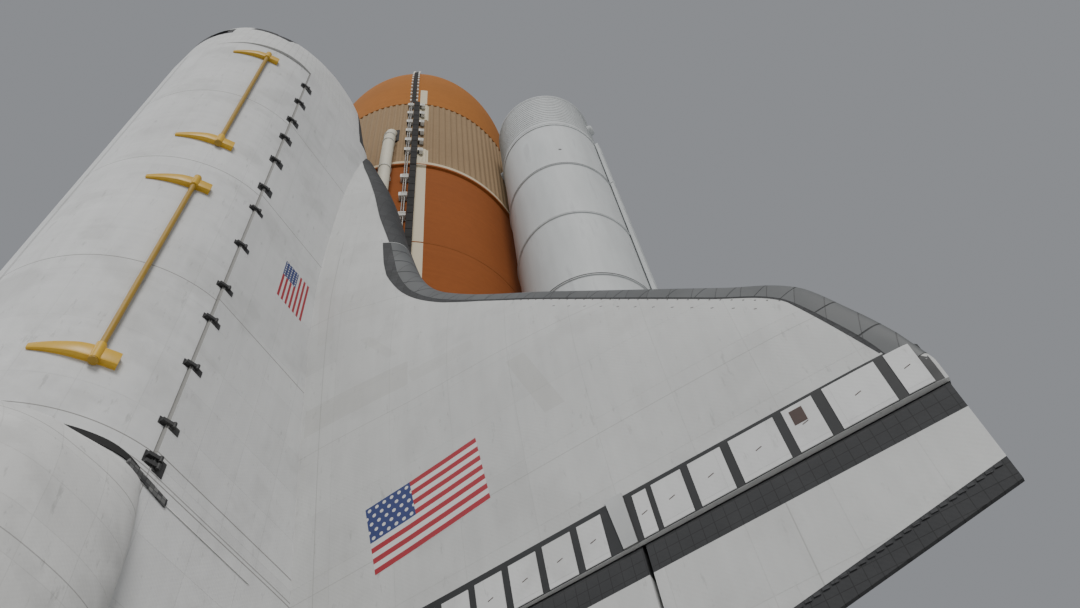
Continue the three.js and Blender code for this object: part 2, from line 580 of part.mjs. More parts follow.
// External tank: ogive, ribbed intertank and the long hydrogen tank with its dome
const tankSides = 32;
const ogiveRadius = (x) => Math.sqrt(tank.ogive ** 2 - (tank.tangent - x) ** 2) - (tank.ogive - tank.r);
const ogiveRows = [-388, -355, -300, -220, -130, -40, 14].map((x) => [x, ogiveRadius(x)]);
const tankTurned = (profile) => turned(profile, tankSides, 0, tank.z);
add('oxygen_tank', tankTurned([[tank.tip, 0], [tank.tip + 3, 3], [-396, 9], ...ogiveRows, [tank.top - 3, tank.r],
  [tank.top - 3, tank.r + 2.5], [tank.top - fit, tank.r + 2.5], [tank.top - fit, 0]]), finishes.foam);

function ribbedRing(x, ribs, inner, outer) {
  return Array.from({ length: ribs * 2 }, (_, i) => {
    const t = ((Math.floor(i / 2) + (i % 2) * 0.5) * 2 * Math.PI) / ribs;
    const r = i % 2 ? inner : outer;
    return at(x, r * Math.cos(t), tank.z + r * Math.sin(t));
  });
}
const ribbing = { count: 40, inner: 166.2, outer: 168 };
const intertankRings = [
  [tank.top, ribbing.inner, ribbing.outer],
  [tank.bottom - 8, ribbing.inner, ribbing.outer],
  [tank.bottom - 7, tank.flange, tank.flange],
  [tank.bottom - fit, tank.flange, tank.flange],
].map(([x, inner, outer]) => ribbedRing(x, ribbing.count, inner, outer));
add('intertank', loft(intertankRings), finishes.foamPale);

const domeRow = (deg) => [tank.ring + tank.dome * Math.sin(deg * rad), tank.r * Math.cos(deg * rad)];
const domeRows = [0, 22, 44, 62, 78].map(domeRow);
const flangeEnd = tank.bottom + 7;
add('hydrogen_tank', tankTurned([[tank.bottom, 0], [tank.bottom, tank.flange], [flangeEnd - 2, tank.flange],
  [flangeEnd, tank.r], ...domeRows, [tank.ring + tank.dome, 0]]), finishes.foam);

// Lines along the tank: the oxygen feedline and the cable tray with its E-shaped supports
const onTank = (x, r, deg) => at(x, r * Math.cos(deg * rad), tank.z + r * Math.sin(deg * rad));
function pipe(points, r, sides) {
  const path = new THREE.CatmullRomCurve3(points, false, 'catmullrom', 0.2);
  const section = new THREE.Shape(Array.from({ length: sides }, (_, i) => new THREE.Vector2(
    r * Math.cos((i * 2 * Math.PI) / sides), r * Math.sin((i * 2 * Math.PI) / sides))));
  const settings = { steps: points.length * 2, bevelEnabled: false, extrudePath: path };
  return solid(new THREE.ExtrudeGeometry(section, settings));
}
const feedAngle = 67.5;
const lineSeats = [442, 634, 826, 1018, 1210].map((x) => {
  const [low, high] = [onTank(x, tank.r + fit, feedAngle), onTank(x, tank.r + 14, feedAngle)];
  return bar(low, high, 4, 4, 6);
});
const feedPath = [onTank(292, 177, feedAngle), onTank(330, 179.5, feedAngle), onTank(420, 182, feedAngle),
  onTank(800, 182, feedAngle), onTank(1180, 182, feedAngle), onTank(1262, 185, feedAngle), at(1296, 70.5, 256),
  at(1308, 70.5, 258), at(1321.5, 70.5, 258)];
add('oxygen_feedline', join(pipe(feedPath, 8.5, 8), ...lineSeats), finishes.strut);

const trayRow = {
  first: 442, pitch: 64, count: 12, deg0: 54, deg1: 57, wide0: 53.4, wide1: 60, end: 1168, top: 118,
};
const trayStations = Array.from({ length: trayRow.count }, (_, i) => trayRow.first + trayRow.pitch * i);
const trayBlock = (x0, x1, r0, r1, deg0, deg1) => crossPlate([...arcPoints(0, tank.z, r0, deg0, deg1, 2),
  ...arcPoints(0, tank.z, r1, deg1, deg0, 2)], x0, x1);
const [trayFrom, trayTo] = [trayRow.deg0, trayRow.deg1];
const tray = join(
  trayBlock(392, trayRow.end, tank.r + 3, tank.r + 7, trayFrom, trayTo),
  trayBlock(trayRow.top, 394, tank.flange + fit, 173, trayFrom, trayTo),
  ...trayStations.map((x) => trayBlock(x, x + 9, tank.r + 0.12, tank.r + 9, trayRow.wide0, trayRow.wide1)),
  trayBlock(388, 400, tank.r + 4, tank.r + 7.3, trayFrom, trayTo),
);
const flangeSide = tank.flange + 0.1;
const flangeTool = tankTurned([[380, 0], [380, flangeSide], [flangeEnd, flangeSide], [flangeEnd, 0]]);
add('tank_cable_tray', cut(tray, flangeTool), finishes.tray);

// What carries the orbiter on the tank
const bipodTop = hullRow(395).bottom - fit;
const bipodFoot = (y) => at(tank.bottom + 16, y, tank.z + Math.sqrt(tank.r ** 2 - y ** 2));
const bipod = join(
  bar(bipodFoot(38), at(tank.bottom, 0, bipodTop - 5), 4, 3.4, 10),
  bar(bipodFoot(-38), at(tank.bottom, 0, bipodTop - 5), 4, 3.4, 10),
  bar(at(tank.bottom, 0, bipodTop - 9), at(tank.bottom, 0, bipodTop), 6, 6, 16),
);
const tankTool = tankTurned([[360, 0], [360, tank.flange + fit], [flangeEnd, tank.flange + fit],
  [flangeEnd + 1, tank.r + fit], ...domeRows.map(([x, r]) => [x, r + fit]), [tank.ring + tank.dome + 2, 0]]);
add('forward_bipod', cut(bipod, tankTool), finishes.strut);

const aftTop = hullRow(1316).bottom - fit;
const aftFoot = (x, y) => onTank(x, tank.r - 2, Math.acos(y / tank.r) / rad);
const aftBall = { x: 1317, y: 96.5 };
const ballAt = (side, drop) => at(aftBall.x, side * aftBall.y, aftTop - drop);
const aftSide = (side) => [
  bar(aftFoot(1300, side * 128), ballAt(side, 6), 6, 6, 8),
  bar(aftFoot(1316, side * 60), ballAt(side, 6), 5, 5, 8),
  bar(aftFoot(1180, side * 112), ballAt(side, 8), 5, 5, 8),
  bar(ballAt(side, 12), ballAt(side, 0), 9, 9, 12),
];
const crossBeam = bar(at(1337, -90, aftTop - 7), at(1337, 90, aftTop - 7), 4.5, 4.5, 10);
const linkArm = (side) => box(1319, 1336, side * 88 - 4, side * 88 + 4, aftTop - 11, aftTop - 3);
const umbilical = (side) => box(1322, 1352, side * 70 - 16, side * 70 + 16, aftTop - 14, aftTop);
const aftHalf = (side) => [...aftSide(side), umbilical(side), linkArm(side)];
const aftFrame = join(...aftHalf(1), crossBeam, ...aftHalf(-1));
add('aft_attach_frame', cut(aftFrame, tankTool), finishes.strut);

// Boosters: nose, forward skirt, motor case with joint rings, aft skirt, nozzle
const caseJoints = [1, 2, 3, 4, 5, 6].map((i) => booster.caseTop + 160 * i);
const jointRing = (x) => [[x - 2.5, booster.r], [x, booster.r + 1.6], [x + 2.5, booster.r]];
const caseProfile = [
  [booster.caseTop, 0], [booster.caseTop, booster.r + 1.2], [booster.caseTop + 5, booster.r + 1.2],
  [booster.caseTop + 5, booster.r], ...caseJoints.flatMap(jointRing), [booster.skirt - fit, booster.r],
  [booster.skirt - fit, 60], [booster.skirt + 4, 42], [booster.skirt + 8, 30],
  [booster.pivot + 40, 30], [booster.pivot + 40, 0],
];
const saddle = (r) => bar(at(booster.pivot, booster.y - 60, tank.z), at(booster.pivot, booster.y + 60, tank.z),
  r, r, 72);
const boosterTurned = (profile, sides = 20) => turned(profile, sides, booster.y, tank.z);
const saddleR = 36;
const caseBody = boosterTurned(caseProfile);
const beyond = box(booster.pivot + 6, booster.pivot + 60, booster.y - 60, booster.y + 60,
  tank.z - 60, tank.z + 60);
addPair('booster_case', cut(caseBody, cut(beyond, saddle(saddleR))), finishes.boosterWhite);

const noseProfile = [[booster.tip, 0], [booster.tip + 2, 6], [booster.tip + 9, 12.5], [booster.cap, 34.2],
  [booster.cap + 1, 34.8], [booster.frustum - 2, 72.4], [booster.frustum - fit, 72.4],
  [booster.frustum - fit, 0]];
addPair('booster_nose', boosterTurned(noseProfile), finishes.boosterWhite);
const skirtTopProfile = [[booster.frustum, 0], [booster.frustum, 73.6], [booster.frustum + 4, 73.6],
  [booster.frustum + 4, booster.r], [booster.caseTop - 6, booster.r], [booster.caseTop - 6, 74],
  [booster.caseTop - fit, 74], [booster.caseTop - fit, 0]];
const knob = bar(at(268, booster.y + 72, tank.z), at(268, booster.y + 79, tank.z), 9, 6, 12);
const thrustPad = bar(at(248, 168 + fit, tank.z), at(248, booster.y - 70, tank.z), 7, 9, 16);
addPair('booster_forward_skirt', join(boosterTurned(skirtTopProfile), knob, thrustPad), finishes.boosterWhite);

const flare = [[booster.skirt, 74.4], [1650, 75], [1668, 84], [1716, 101], [floorStation, 104]];
const skirtBody = cut(
  boosterTurned([[booster.skirt, 0], ...flare, [floorStation, 0]]),
  boosterTurned([[booster.skirt - 1, 0], [booster.skirt - 1, 70], [1650, 71.5], [1668, 80.5], [1716, 97.5],
    [floorStation + 1, 100.5], [floorStation + 1, 0]]),
);
const post = (deg) => bar(at(1690, booster.y + 92 * Math.cos(deg * rad), tank.z + 92 * Math.sin(deg * rad)),
  at(floorStation, booster.y + 100 * Math.cos(deg * rad), tank.z + 100 * Math.sin(deg * rad)), 6, 9, 6);
const insideSkirt = boosterTurned([[booster.skirt - 1, 0], [booster.skirt - 1, 70], [1650, 71.5], [1668, 80.5],
  [1716, 93], [floorStation + 1, 93], [floorStation + 1, 0]]);
const underFloor = box(floorStation, floorStation + 20, 0, 400, -100, 250);
const skirtPosts = [35, 145, 215, 325].map((deg) => cut(post(deg), insideSkirt, underFloor));
addPair('booster_aft_skirt', join(skirtBody, ...skirtPosts), finishes.boosterWhite);

const nozzleBody = cut(
  boosterTurned([[booster.pivot + 8, 0], [booster.pivot + 8, 37], [booster.pivot + 24, 37],
    [booster.pivot + 34, 40], [booster.exitX, 66], [booster.exitX, 0]], 18),
  boosterTurned([[booster.pivot + 2, 0], [booster.pivot + 2, 27], [booster.pivot + 34, 31.5],
    [booster.exitX + 1, 63], [booster.exitX + 1, 0]], 18),
  saddle(saddleR + fit + 0.02),
);
addPair('booster_nozzle', nozzleBody, finishes.charred);

const ringX = 1313;
const attachRing = cut(
  boosterTurned([[ringX - 6, 0], [ringX - 6, booster.r + 8], [ringX + 6, booster.r + 8], [ringX + 6, 0]]),
  boosterTurned([[ringX - 7, 0], [ringX - 7, booster.r + fit], [ringX + 7, booster.r + fit], [ringX + 7, 0]]),
);
const strut = (rise, end) => bar(at(ringX, booster.y - 66, tank.z + rise), at(ringX, 161, tank.z + end),
  4, 4, 10);
const struts = join(strut(38, 62), strut(-38, -62), strut(-30, 40));
const caseTool = boosterTurned([[1200, 0], [1200, booster.r + fit], [1400, booster.r + fit], [1400, 0]]);
const ringTool = boosterTurned([[1280, 0], [1280, booster.r + 2.2], [1304, booster.r + 2.2], [1304, 0]]);
const tunnelSize = { low: 60, high: 79, half: 5 };
const tunnelSlot = box(ringX - 9, ringX + 9, booster.y + tunnelSize.low, booster.y + tunnelSize.high + fit,
  tank.z - tunnelSize.half - fit, tank.z + tunnelSize.half + fit);
addPair('booster_attach_ring', join(cut(attachRing, tunnelSlot), cut(struts, tankTool, caseTool, ringTool)),
  finishes.boosterWhite);

const tunnel = cut(
  box(booster.caseTop - 90, booster.skirt - 4, booster.y + tunnelSize.low, booster.y + tunnelSize.high,
    tank.z - tunnelSize.half, tank.z + tunnelSize.half),
  boosterTurned([[200, 0], [200, booster.r + fit + 1.7], [1700, booster.r + fit + 1.7], [1700, 0]]),
  box(booster.caseTop - 100, booster.caseTop + 6.5, booster.y + 40, booster.y + 90, tank.z - 9, tank.z + 9),
);
addPair('booster_tunnel', tunnel, finishes.boosterWhite);

// The row frame: x aft becomes down, y starboard stays across and z up faces away from +Y
const middle = (tail.tipZ + tank.z - tank.flange) / 2;
const stations = new THREE.Group();
stations.matrixAutoUpdate = false;
stations.matrix.set(
  0, inch, 0, 0,
  0, 0, -inch, middle * inch,
  -inch, 0, 0, floorStation * inch,
  0, 0, 0, 1,
);
for (const { name, body, material } of pieces) {
  const mesh = new THREE.Mesh(geometryOf(body), material);
  mesh.name = name;
  stations.add(mesh);
}
const stack = new THREE.Group();
stack.add(stations);
stack.updateMatrixWorld(true);

export default stack;
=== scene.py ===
# A shuttle orbiter stacked on its tank and two boosters, at half size.
# Lengths and places are in station inches of the full-size craft: x aft, y to starboard, z up from the belly.
import bpy
import bmesh
import math
from mathutils import Matrix, Vector


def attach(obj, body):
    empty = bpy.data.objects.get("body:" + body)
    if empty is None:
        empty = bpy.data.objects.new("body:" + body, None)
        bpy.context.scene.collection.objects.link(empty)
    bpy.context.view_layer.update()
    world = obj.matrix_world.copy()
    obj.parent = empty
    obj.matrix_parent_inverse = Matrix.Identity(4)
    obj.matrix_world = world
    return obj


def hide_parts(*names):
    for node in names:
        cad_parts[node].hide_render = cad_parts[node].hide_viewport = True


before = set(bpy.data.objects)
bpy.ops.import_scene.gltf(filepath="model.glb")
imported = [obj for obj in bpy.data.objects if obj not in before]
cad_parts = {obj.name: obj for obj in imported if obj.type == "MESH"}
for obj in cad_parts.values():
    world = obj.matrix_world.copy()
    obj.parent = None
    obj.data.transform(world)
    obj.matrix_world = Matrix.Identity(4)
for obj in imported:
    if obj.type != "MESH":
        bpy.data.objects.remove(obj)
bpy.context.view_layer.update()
print("frame loaded:", len(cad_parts), "nodes")

layout = {"scale": 0.0127, "floorX": 1732.64, "middleZ": 356.7}


def spot(x, y, z):
    return Vector((y, layout["middleZ"] - z, layout["floorX"] - x)) * layout["scale"]


# Camera: the photograph's place, heading and lens
camera = {
    "x": 1717.72, "y": 408.16, "z": 603.93,
    "yaw": -0.38035, "pitch": 1.05632, "roll": -0.17848,
    "focalPixels": 985.94, "imageWidth": 1080, "sensor": 36.0,
}


def makeCamera():
    yaw, pitch, roll = camera["yaw"], camera["pitch"], camera["roll"]
    ahead = Vector((math.sin(yaw) * math.cos(pitch), math.cos(yaw) * math.cos(pitch), math.sin(pitch)))
    level = Vector((math.cos(yaw), -math.sin(yaw), 0))
    above = level.cross(ahead)
    right = level * math.cos(roll) + above * math.sin(roll)
    up = above * math.cos(roll) - level * math.sin(roll)
    data = bpy.data.cameras.new("camera")
    data.sensor_width = camera["sensor"]
    data.lens = camera["sensor"] * camera["focalPixels"] / camera["imageWidth"]
    data.clip_start, data.clip_end = 0.05, 500
    cam = bpy.data.objects.new("camera", data)
    turn = Matrix((right, up, -ahead)).transposed().to_4x4()
    cam.matrix_world = Matrix.Translation(spot(camera["x"], camera["y"], camera["z"])) @ turn
    bpy.context.scene.collection.objects.link(cam)
    bpy.context.scene.camera = cam


makeCamera()

# Studio: a pale floor, two broad soft suns and an even grey surround
studio = {
    "floorReach": 3500, "floorColor": (0.62, 0.62, 0.61),
    "surround": (0.30, 0.31, 0.33), "surroundPower": 0.9,
    "keyPower": 2.3, "keyFrom": (6.0, -9.0, 7.5), "keySpread": 26,
    "fillPower": 0.9, "fillFrom": (-9.0, -7.0, 10.0), "fillSpread": 50,
}


def makeSun(name, power, origin, softness, color):
    data = bpy.data.lights.new(name, "SUN")
    data.energy = power
    data.angle = math.radians(softness)
    data.color = color
    sun = bpy.data.objects.new(name, data)
    sun.rotation_mode = "QUATERNION"
    sun.rotation_quaternion = Vector(origin).to_track_quat("Z", "Y")
    bpy.context.scene.collection.objects.link(sun)


makeSun("keySun", studio["keyPower"], studio["keyFrom"], studio["keySpread"], (1.0, 0.985, 0.96))
makeSun("fillSun", studio["fillPower"], studio["fillFrom"], studio["fillSpread"], (0.93, 0.96, 1.0))

world = bpy.data.worlds.new("surround")
world.use_nodes = True
backdrop = world.node_tree.nodes["Background"]
backdrop.inputs["Color"].default_value = (*studio["surround"], 1)
backdrop.inputs["Strength"].default_value = studio["surroundPower"]
bpy.context.scene.world = world


# Shader writing: a Field is one socket of a material, and sums of Fields make Math nodes
class Field:
    def __init__(self, shader, socket):
        self.shader, self.socket = shader, socket

    def math(self, operation, *others):
        inputs = dict(enumerate((self, *others)))
        return self.shader.add("Math", {"operation": operation}, inputs)(0)

    def __add__(self, other):
        return self.math("ADD", other)

    __radd__ = __add__

    def __sub__(self, other):
        return self.math("SUBTRACT", other)

    def __rsub__(self, other):
        return (self * -1).math("ADD", other)

    def __mul__(self, other):
        return self.math("MULTIPLY", other)

    __rmul__ = __mul__

    def __truediv__(self, other):
        return self.math("DIVIDE", other)

    def __mod__(self, other):
        return self.math("FLOORED_MODULO", other)

    def __gt__(self, other):
        return self.math("GREATER_THAN", other)

    def __lt__(self, other):
        return self.math("LESS_THAN", other)

    def __abs__(self):
        return self.math("ABSOLUTE")

    def floor(self):
        return self.math("FLOOR")

    def atan(self, other):
        return self.math("ARCTAN2", other)

    def most(self, other):
        return self.math("MAXIMUM", other)

    def least(self, other):
        return self.math("MINIMUM", other)

    def between(self, low, high):
        return (self > low) * (self < high)

    def near(self, middle, reach):
        return abs(self - middle) < reach

    # near one of some values, each given with its reach
    def nearAny(self, places):
        first, *others = [self.near(*place) for place in places]
        for other in others:
            first = first.most(other)
        return first

    # how far to the nearest line of a row of lines a pitch apart
    def toLine(self, pitch, shift=0.0):
        return abs((self + (shift + pitch / 2)) % pitch - pitch / 2)

    # how far over a level, times a gain, and held between 0 and a cap
    def over(self, level, gain, cap=1.0):
        return ((self - level) * gain).most(0.0).least(cap)


class Shader:
    def __init__(self, name):
        self.material = bpy.data.materials.new(name)
        self.material.use_nodes = True
        self.tree = self.material.node_tree
        self.tree.nodes.clear()
        self.place = self.add("TexCoord", {}, {})
        self.object = self.place("Object")
        row = self.add("SeparateXYZ", {}, {0: self.object})
        scale = layout["scale"]
        self.x = layout["floorX"] - row("Z") / scale
        self.y = row("X") / scale
        self.z = layout["middleZ"] - row("Y") / scale

    def add(self, kind, settings, inputs):
        node = self.tree.nodes.new("ShaderNode" + kind)
        for key, value in settings.items():
            setattr(node, key, value)
        for key, value in inputs.items():
            if isinstance(value, Field):
                self.tree.links.new(value.socket, node.inputs[key])
            elif isinstance(value, tuple) and len(value) == 3 and node.inputs[key].type == "RGBA":
                node.inputs[key].default_value = (*value, 1)
            else:
                node.inputs[key].default_value = value
        return lambda key: Field(self, node.outputs[key])

    # over 0 where the surface faces the belly side
    def facingDown(self):
        return self.add("SeparateXYZ", {}, {0: self.place("Normal")})("Y")

    def noise(self, scale, detail=3.0, vector=None, rough=0.55):
        inputs = {"Vector": vector or self.object, "Scale": scale, "Detail": detail, "Roughness": rough}
        return self.add("TexNoise", {}, inputs)(0)

    def vector(self, x, y, z=0.0):
        return self.add("CombineXYZ", {}, {0: x, 1: y, 2: z})(0)

    # one chance value for every cell of a grid
    def cells(self, across, along, seed=0.0):
        corner = self.vector(across.floor(), along.floor(), seed)
        return self.add("TexWhiteNoise", {}, {"Vector": corner})("Value")

    def mix(self, share, first, second, kind="MIX"):
        settings = {"data_type": "RGBA", "blend_type": kind, "clamp_factor": True}
        return self.add("Mix", settings, {0: share, 6: first, 7: second})(2)

    def shade(self, color, amount):
        grey = self.add("CombineColor", {}, {0: amount, 1: amount, 2: amount})(0)
        return self.mix(1.0, color, grey, "MULTIPLY")

    def seam(self, color, mask, share):
        return self.mix(mask * share, color, finishes["seam"])

    def finish(self, color, roughness, bump, depth, metallic=0.0, extra=None):
        inputs = {"Base Color": color, "Roughness": roughness, "Metallic": metallic, **(extra or {})}
        inputs["Normal"] = self.add("Bump", {}, {"Strength": 1.0, "Distance": depth, "Height": bump})(0)
        surface = self.add("BsdfPrincipled", {}, inputs)("BSDF")
        self.add("OutputMaterial", {}, {"Surface": surface})
        return self.material


# Mesh writing in station inches
def meshObject(name, points, faces, material, smoothAngle=32.0):
    mesh = bpy.data.meshes.new(name)
    mesh.from_pydata([spot(*point) for point in points], [], faces)
    tidyMesh(mesh, smoothAngle)
    mesh.materials.append(material)
    piece = bpy.data.objects.new(name, mesh)
    bpy.context.scene.collection.objects.link(piece)
    return piece


def tidyMesh(mesh, smoothAngle):
    work = bmesh.new()
    work.from_mesh(mesh)
    bmesh.ops.remove_doubles(work, verts=work.verts, dist=1e-5)
    bmesh.ops.recalc_face_normals(work, faces=work.faces)
    work.to_mesh(mesh)
    work.free()
    mesh.shade_smooth()
    mesh.set_sharp_from_angle(angle=math.radians(smoothAngle))


def skinFaces(rings):
    count = len(rings[0])
    points = [point for ring in rings for point in ring]
    faces = []
    for start in range(0, len(points) - count, count):
        for i in range(count):
            a, b = start + i, start + (i + 1) % count
            faces.append((a, b, b + count, a + count))
    return points, [*faces, tuple(range(count)), tuple(range(len(points) - count, len(points)))]


def skin(name, rings, material):
    return meshObject(name, *skinFaces(rings), material)


def gathered(name, parts, material, smoothAngle=32.0):
    points, faces = [], []
    for somePoints, someFaces in parts:
        faces += [tuple(len(points) + i for i in face) for face in someFaces]
        points += somePoints
    return meshObject(name, points, faces, material, smoothAngle)


def spread(start, end, steps):
    return [start + (end - start) * i / steps for i in range(steps + 1)]


def turns(count):
    return [2 * math.pi * i / count for i in range(count)]


# A section across the craft carried along x, and an outline seen from the side carried along y
def prism(section, *xs):
    return skinFaces([[(x, y, z) for y, z in section] for x in xs])


def slab(outline, *ys):
    return skinFaces([[(x, y, z) for x, z in outline] for y in ys])


def boxPart(x0, x1, y0, y1, z0, z1):
    return prism(((y0, z0), (y1, z0), (y1, z1), (y0, z1)), x0, x1)


def circle(centre, u, v, r, count):
    return [tuple(centre + (u * math.cos(t) + v * math.sin(t)) * r) for t in turns(count)]


def barPart(start, end, r0, r1=None, count=16):
    start, end = Vector(start), Vector(end)
    along = (end - start).normalized()
    helper = Vector((0, 0, 1)) if abs(along.x) > 0.8 else Vector((1, 0, 0))
    u = helper.cross(along).normalized()
    v = along.cross(u)
    return skinFaces([circle(start, u, v, r0, count), circle(end, u, v, r0 if r1 is None else r1, count)])


# A bar straight along y
def pinPart(x, y0, y1, z, r0, r1=None, count=16):
    return barPart((x, y0, z), (x, y1, z), r0, r1, count)


def turnedPart(profile, count, y=0.0, z=0.0):
    return skinFaces([[(x, y + max(r, 0.02) * math.cos(t), z + max(r, 0.02) * math.sin(t))
                       for t in turns(count)] for x, r in profile])


# A profile that is the same fore and aft of x, from steps out of it and the radius at each
def evenProfile(x, half):
    return [*[(x - out, r) for out, r in half], *[(x + out, r) for out, r in reversed(half)]]


# A raised band: half its width and its height over r, at the foot and at the top
def bandProfile(x, r, foot, footHigh, top, topHigh):
    return evenProfile(x, [(foot, r + footHigh), (top, r + topHigh)])


def arc(y, z, r, fromDeg, toDeg, steps):
    return [(y + r * math.cos(math.radians(t)), z + r * math.sin(math.radians(t)))
            for t in spread(fromDeg, toDeg, steps)]


def mirroredPart(part):
    points, faces = part
    return [(x, -y, z) for x, y, z in points], [tuple(reversed(face)) for face in faces]


def aimedPart(part, pivot, direction):
    turn = Vector((1, 0, 0)).rotation_difference(Vector(direction))
    points, faces = part
    return [tuple(turn @ Vector(point) + Vector(pivot)) for point in points], faces


def carve(piece, cutter, operation="DIFFERENCE"):
    change = piece.modifiers.new("carve", "BOOLEAN")
    change.operation, change.solver, change.object = operation, "EXACT", cutter
    evaluated = piece.evaluated_get(bpy.context.evaluated_depsgraph_get())
    mesh = bpy.data.meshes.new_from_object(evaluated)
    piece.modifiers.clear()
    piece.data = mesh
    bpy.data.objects.remove(cutter, do_unlink=True)
    tidyMesh(mesh, 32.0)


def cut(piece, *parts, operation="DIFFERENCE"):
    for part in parts:
        carve(piece, gathered("cutter", [part], bpy.data.materials[0]), operation)


def rowsOf(keys, *rows):
    return [dict(zip(keys.split(), row)) for row in rows]


def interpolate(rows, key, value):
    for a, b in zip(rows, rows[1:]):
        if value <= b[key]:
            share = (value - a[key]) / (b[key] - a[key])
            return {name: a[name] + (b[name] - a[name]) * share for name in a}
    return dict(rows[-1])


# The craft is the same on both sides: parts are drawn to starboard and mirrored to port
signs = {"right": 1, "left": -1}


def handed(side, parts):
    return parts if side == "right" else [mirroredPart(part) for part in parts]


def carry(piece, body="stack", nodes=()):
    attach(piece, body)
    if nodes:
        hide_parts(*nodes)
    return piece


def place(name, parts, material, slot="white_blanket", body="stack", nodes=(), smoothAngle=32.0):
    return carry(gathered(name, parts, material, smoothAngle), body, nodes)


# One piece for each side: the names of its body and node end in the side
def placePair(name, parts, material, slot="white_blanket", body=None, node=None, smoothAngle=32.0):
    for side in signs:
        rides = "%s_%s" % (body, side) if body else "stack"
        nodes = ["%s_%s" % (node, side)] if node else []
        place("%s_%s" % (name, side), handed(side, parts), material, slot, rides, nodes, smoothAngle)


# A frame node that stays as it is gets its finish
def coat(node, material):
    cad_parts[node].data.materials.clear()
    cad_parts[node].data.materials.append(material)


# Base colours of the finishes. Each maker below takes a name, so that a piece can have its own version.
finishes = {
    "blanket": (0.63, 0.635, 0.63), "blanketDark": (0.42, 0.42, 0.41), "whiteTile": (0.66, 0.665, 0.655),
    "wingFelt": (0.535, 0.54, 0.53), "podWarm": (0.66, 0.66, 0.645), "creaseShade": (0.30, 0.30, 0.29),
    "repair": (0.40, 0.395, 0.37), "seam": (0.20, 0.195, 0.18), "blackTile": (0.022, 0.023, 0.025),
    "tileGap": (0.012, 0.012, 0.012), "carbon": (0.105, 0.11, 0.112), "brace": (0.36, 0.215, 0.018),
    "braceArm": (0.62, 0.37, 0.02), "foam": (0.38, 0.145, 0.033), "foamPale": (0.31, 0.215, 0.125),
    "cream": (0.66, 0.60, 0.45), "boosterWhite": (0.54, 0.56, 0.56), "steel": (0.42, 0.40, 0.37),
    "dark": (0.03, 0.03, 0.03),
}

# The pitch of the felt and blanket panels, and where the long seams of the doors run
panels = {"along": 36.0, "across": 30.0, "tile": 6.0, "doorSeams": (762, 942, 1122, 1288)}


def surfaceAxes(sh, mapping):
    if mapping in ("plan", "side"):
        return sh.x, sh.y if mapping == "plan" else sh.z
    return sh.x, (sh.z - bay["crown"]).atan(sh.y) * bay["outer"]


def gridLines(u, v, pitchU, pitchV, half):
    return (u.toLine(pitchU) < half).most(v.toLine(pitchV) < half)


# Quilted white blankets and felt: panels that differ a little, thin seams, stains and fine quilting
def blanketSkin(name, mapping="plan", along=None, across=None, seams=(), repairs=(), extraDark=None,
                base="blanket"):
    sh = Shader(name)
    u, v = surfaceAxes(sh, mapping)
    along, across = along or panels["along"], across or panels["across"]
    panelTone = sh.cells(u / along, v / across, 1.0)
    broad = sh.noise(0.55, 4)
    fine = sh.noise(7.0, 5)
    streaks = sh.noise(1.0, 4, sh.vector(sh.x * 0.01, sh.y * 0.12, sh.z * 0.12))
    tone = panelTone * 0.05 + broad * 0.26 + fine * 0.08 + streaks * 0.18 + 0.68
    color = sh.shade(finishes[base], tone)
    color = sh.mix(sh.noise(1.9, 6).over(0.53, 3.0, 0.34), color, finishes["blanketDark"])
    # Painted shade in the creases: the crease lines are darkened, and the bump presses them in
    creases = sh.noise(1.0, 7, sh.vector(sh.x * 0.05, sh.y * 0.22, sh.z * 0.22), 0.7)
    color = sh.mix(creases.over(0.60, 5.0, 0.42), color, finishes["creaseShade"])
    for x0, x1, y0, y1, slant, depth in repairs:
        inside = (sh.y - sh.x * slant).between(y0 - x0 * slant, y1 - x0 * slant) * sh.x.between(x0, x1)
        color = sh.mix(inside * depth, color, finishes["repair"])
    grooves = gridLines(u, v, along, across, 0.16)
    color = sh.seam(color, grooves, 0.11)
    for seam in seams:
        color = sh.seam(color, sh.x.near(seam, 0.45), 0.85)
    if extraDark:
        color = extraDark(sh, color)
    quilt = (u * 2.1).math("SINE") * (v * 2.1).math("SINE")
    relief = quilt * 0.12 + fine * 0.6 + broad * 2.2 - grooves * 0.5 - creases * 0.8
    return sh.finish(color, 0.82 + (fine - 0.5) * 0.2, relief, 0.0016)


# Black tiles in a grid with fine gaps
def tileSkin(name, mapping="plan", size=None, light=(0.06, 0.062, 0.066)):
    sh = Shader(name)
    u, v = surfaceAxes(sh, mapping)
    size = size or panels["tile"]
    tone = sh.cells(u / size, v / size, 3.0)
    wear = sh.noise(3.0, 5)
    shaded = sh.mix(tone * 0.35 + (wear - 0.5).most(0.0) * 1.2, finishes["blackTile"], light)
    gaps = gridLines(u, v, size, size, 0.14)
    shaded = sh.mix(gaps * 0.75, shaded, finishes["tileGap"])
    return sh.finish(shaded, 0.62 + wear * 0.25, tone * 0.25 - gaps, 0.0022)


def carbonSkin(name, pitch=21.0):
    sh = Shader(name)
    diagonal = sh.y + sh.x * 0.25
    wear = sh.noise(2.4, 6)
    tone = sh.cells(diagonal / pitch, sh.y * 0, 5.0) * 0.12 + wear * 0.5 + 0.55
    color = sh.shade(finishes["carbon"], tone)
    gaps = diagonal.toLine(pitch) < 0.2
    color = sh.mix(gaps * 0.8, color, finishes["dark"])
    return sh.finish(color, 0.42 + wear * 0.3, wear * 0.3 - gaps, 0.0015)


def paintSkin(name, color, roughness=0.5, worn=0.25, wornColor=(0.25, 0.24, 0.22), gloss=0.5):
    sh = Shader(name)
    wear = sh.noise(5.0, 6)
    tone = sh.shade(color, sh.noise(1.1, 4) * 0.30 + 0.84)
    tone = sh.mix(wear.over(0.60, 6.0) * worn, tone, wornColor)
    return sh.finish(tone, roughness + (wear - 0.5) * 0.3, wear, 0.0008, extra={"Specular IOR Level": gloss})


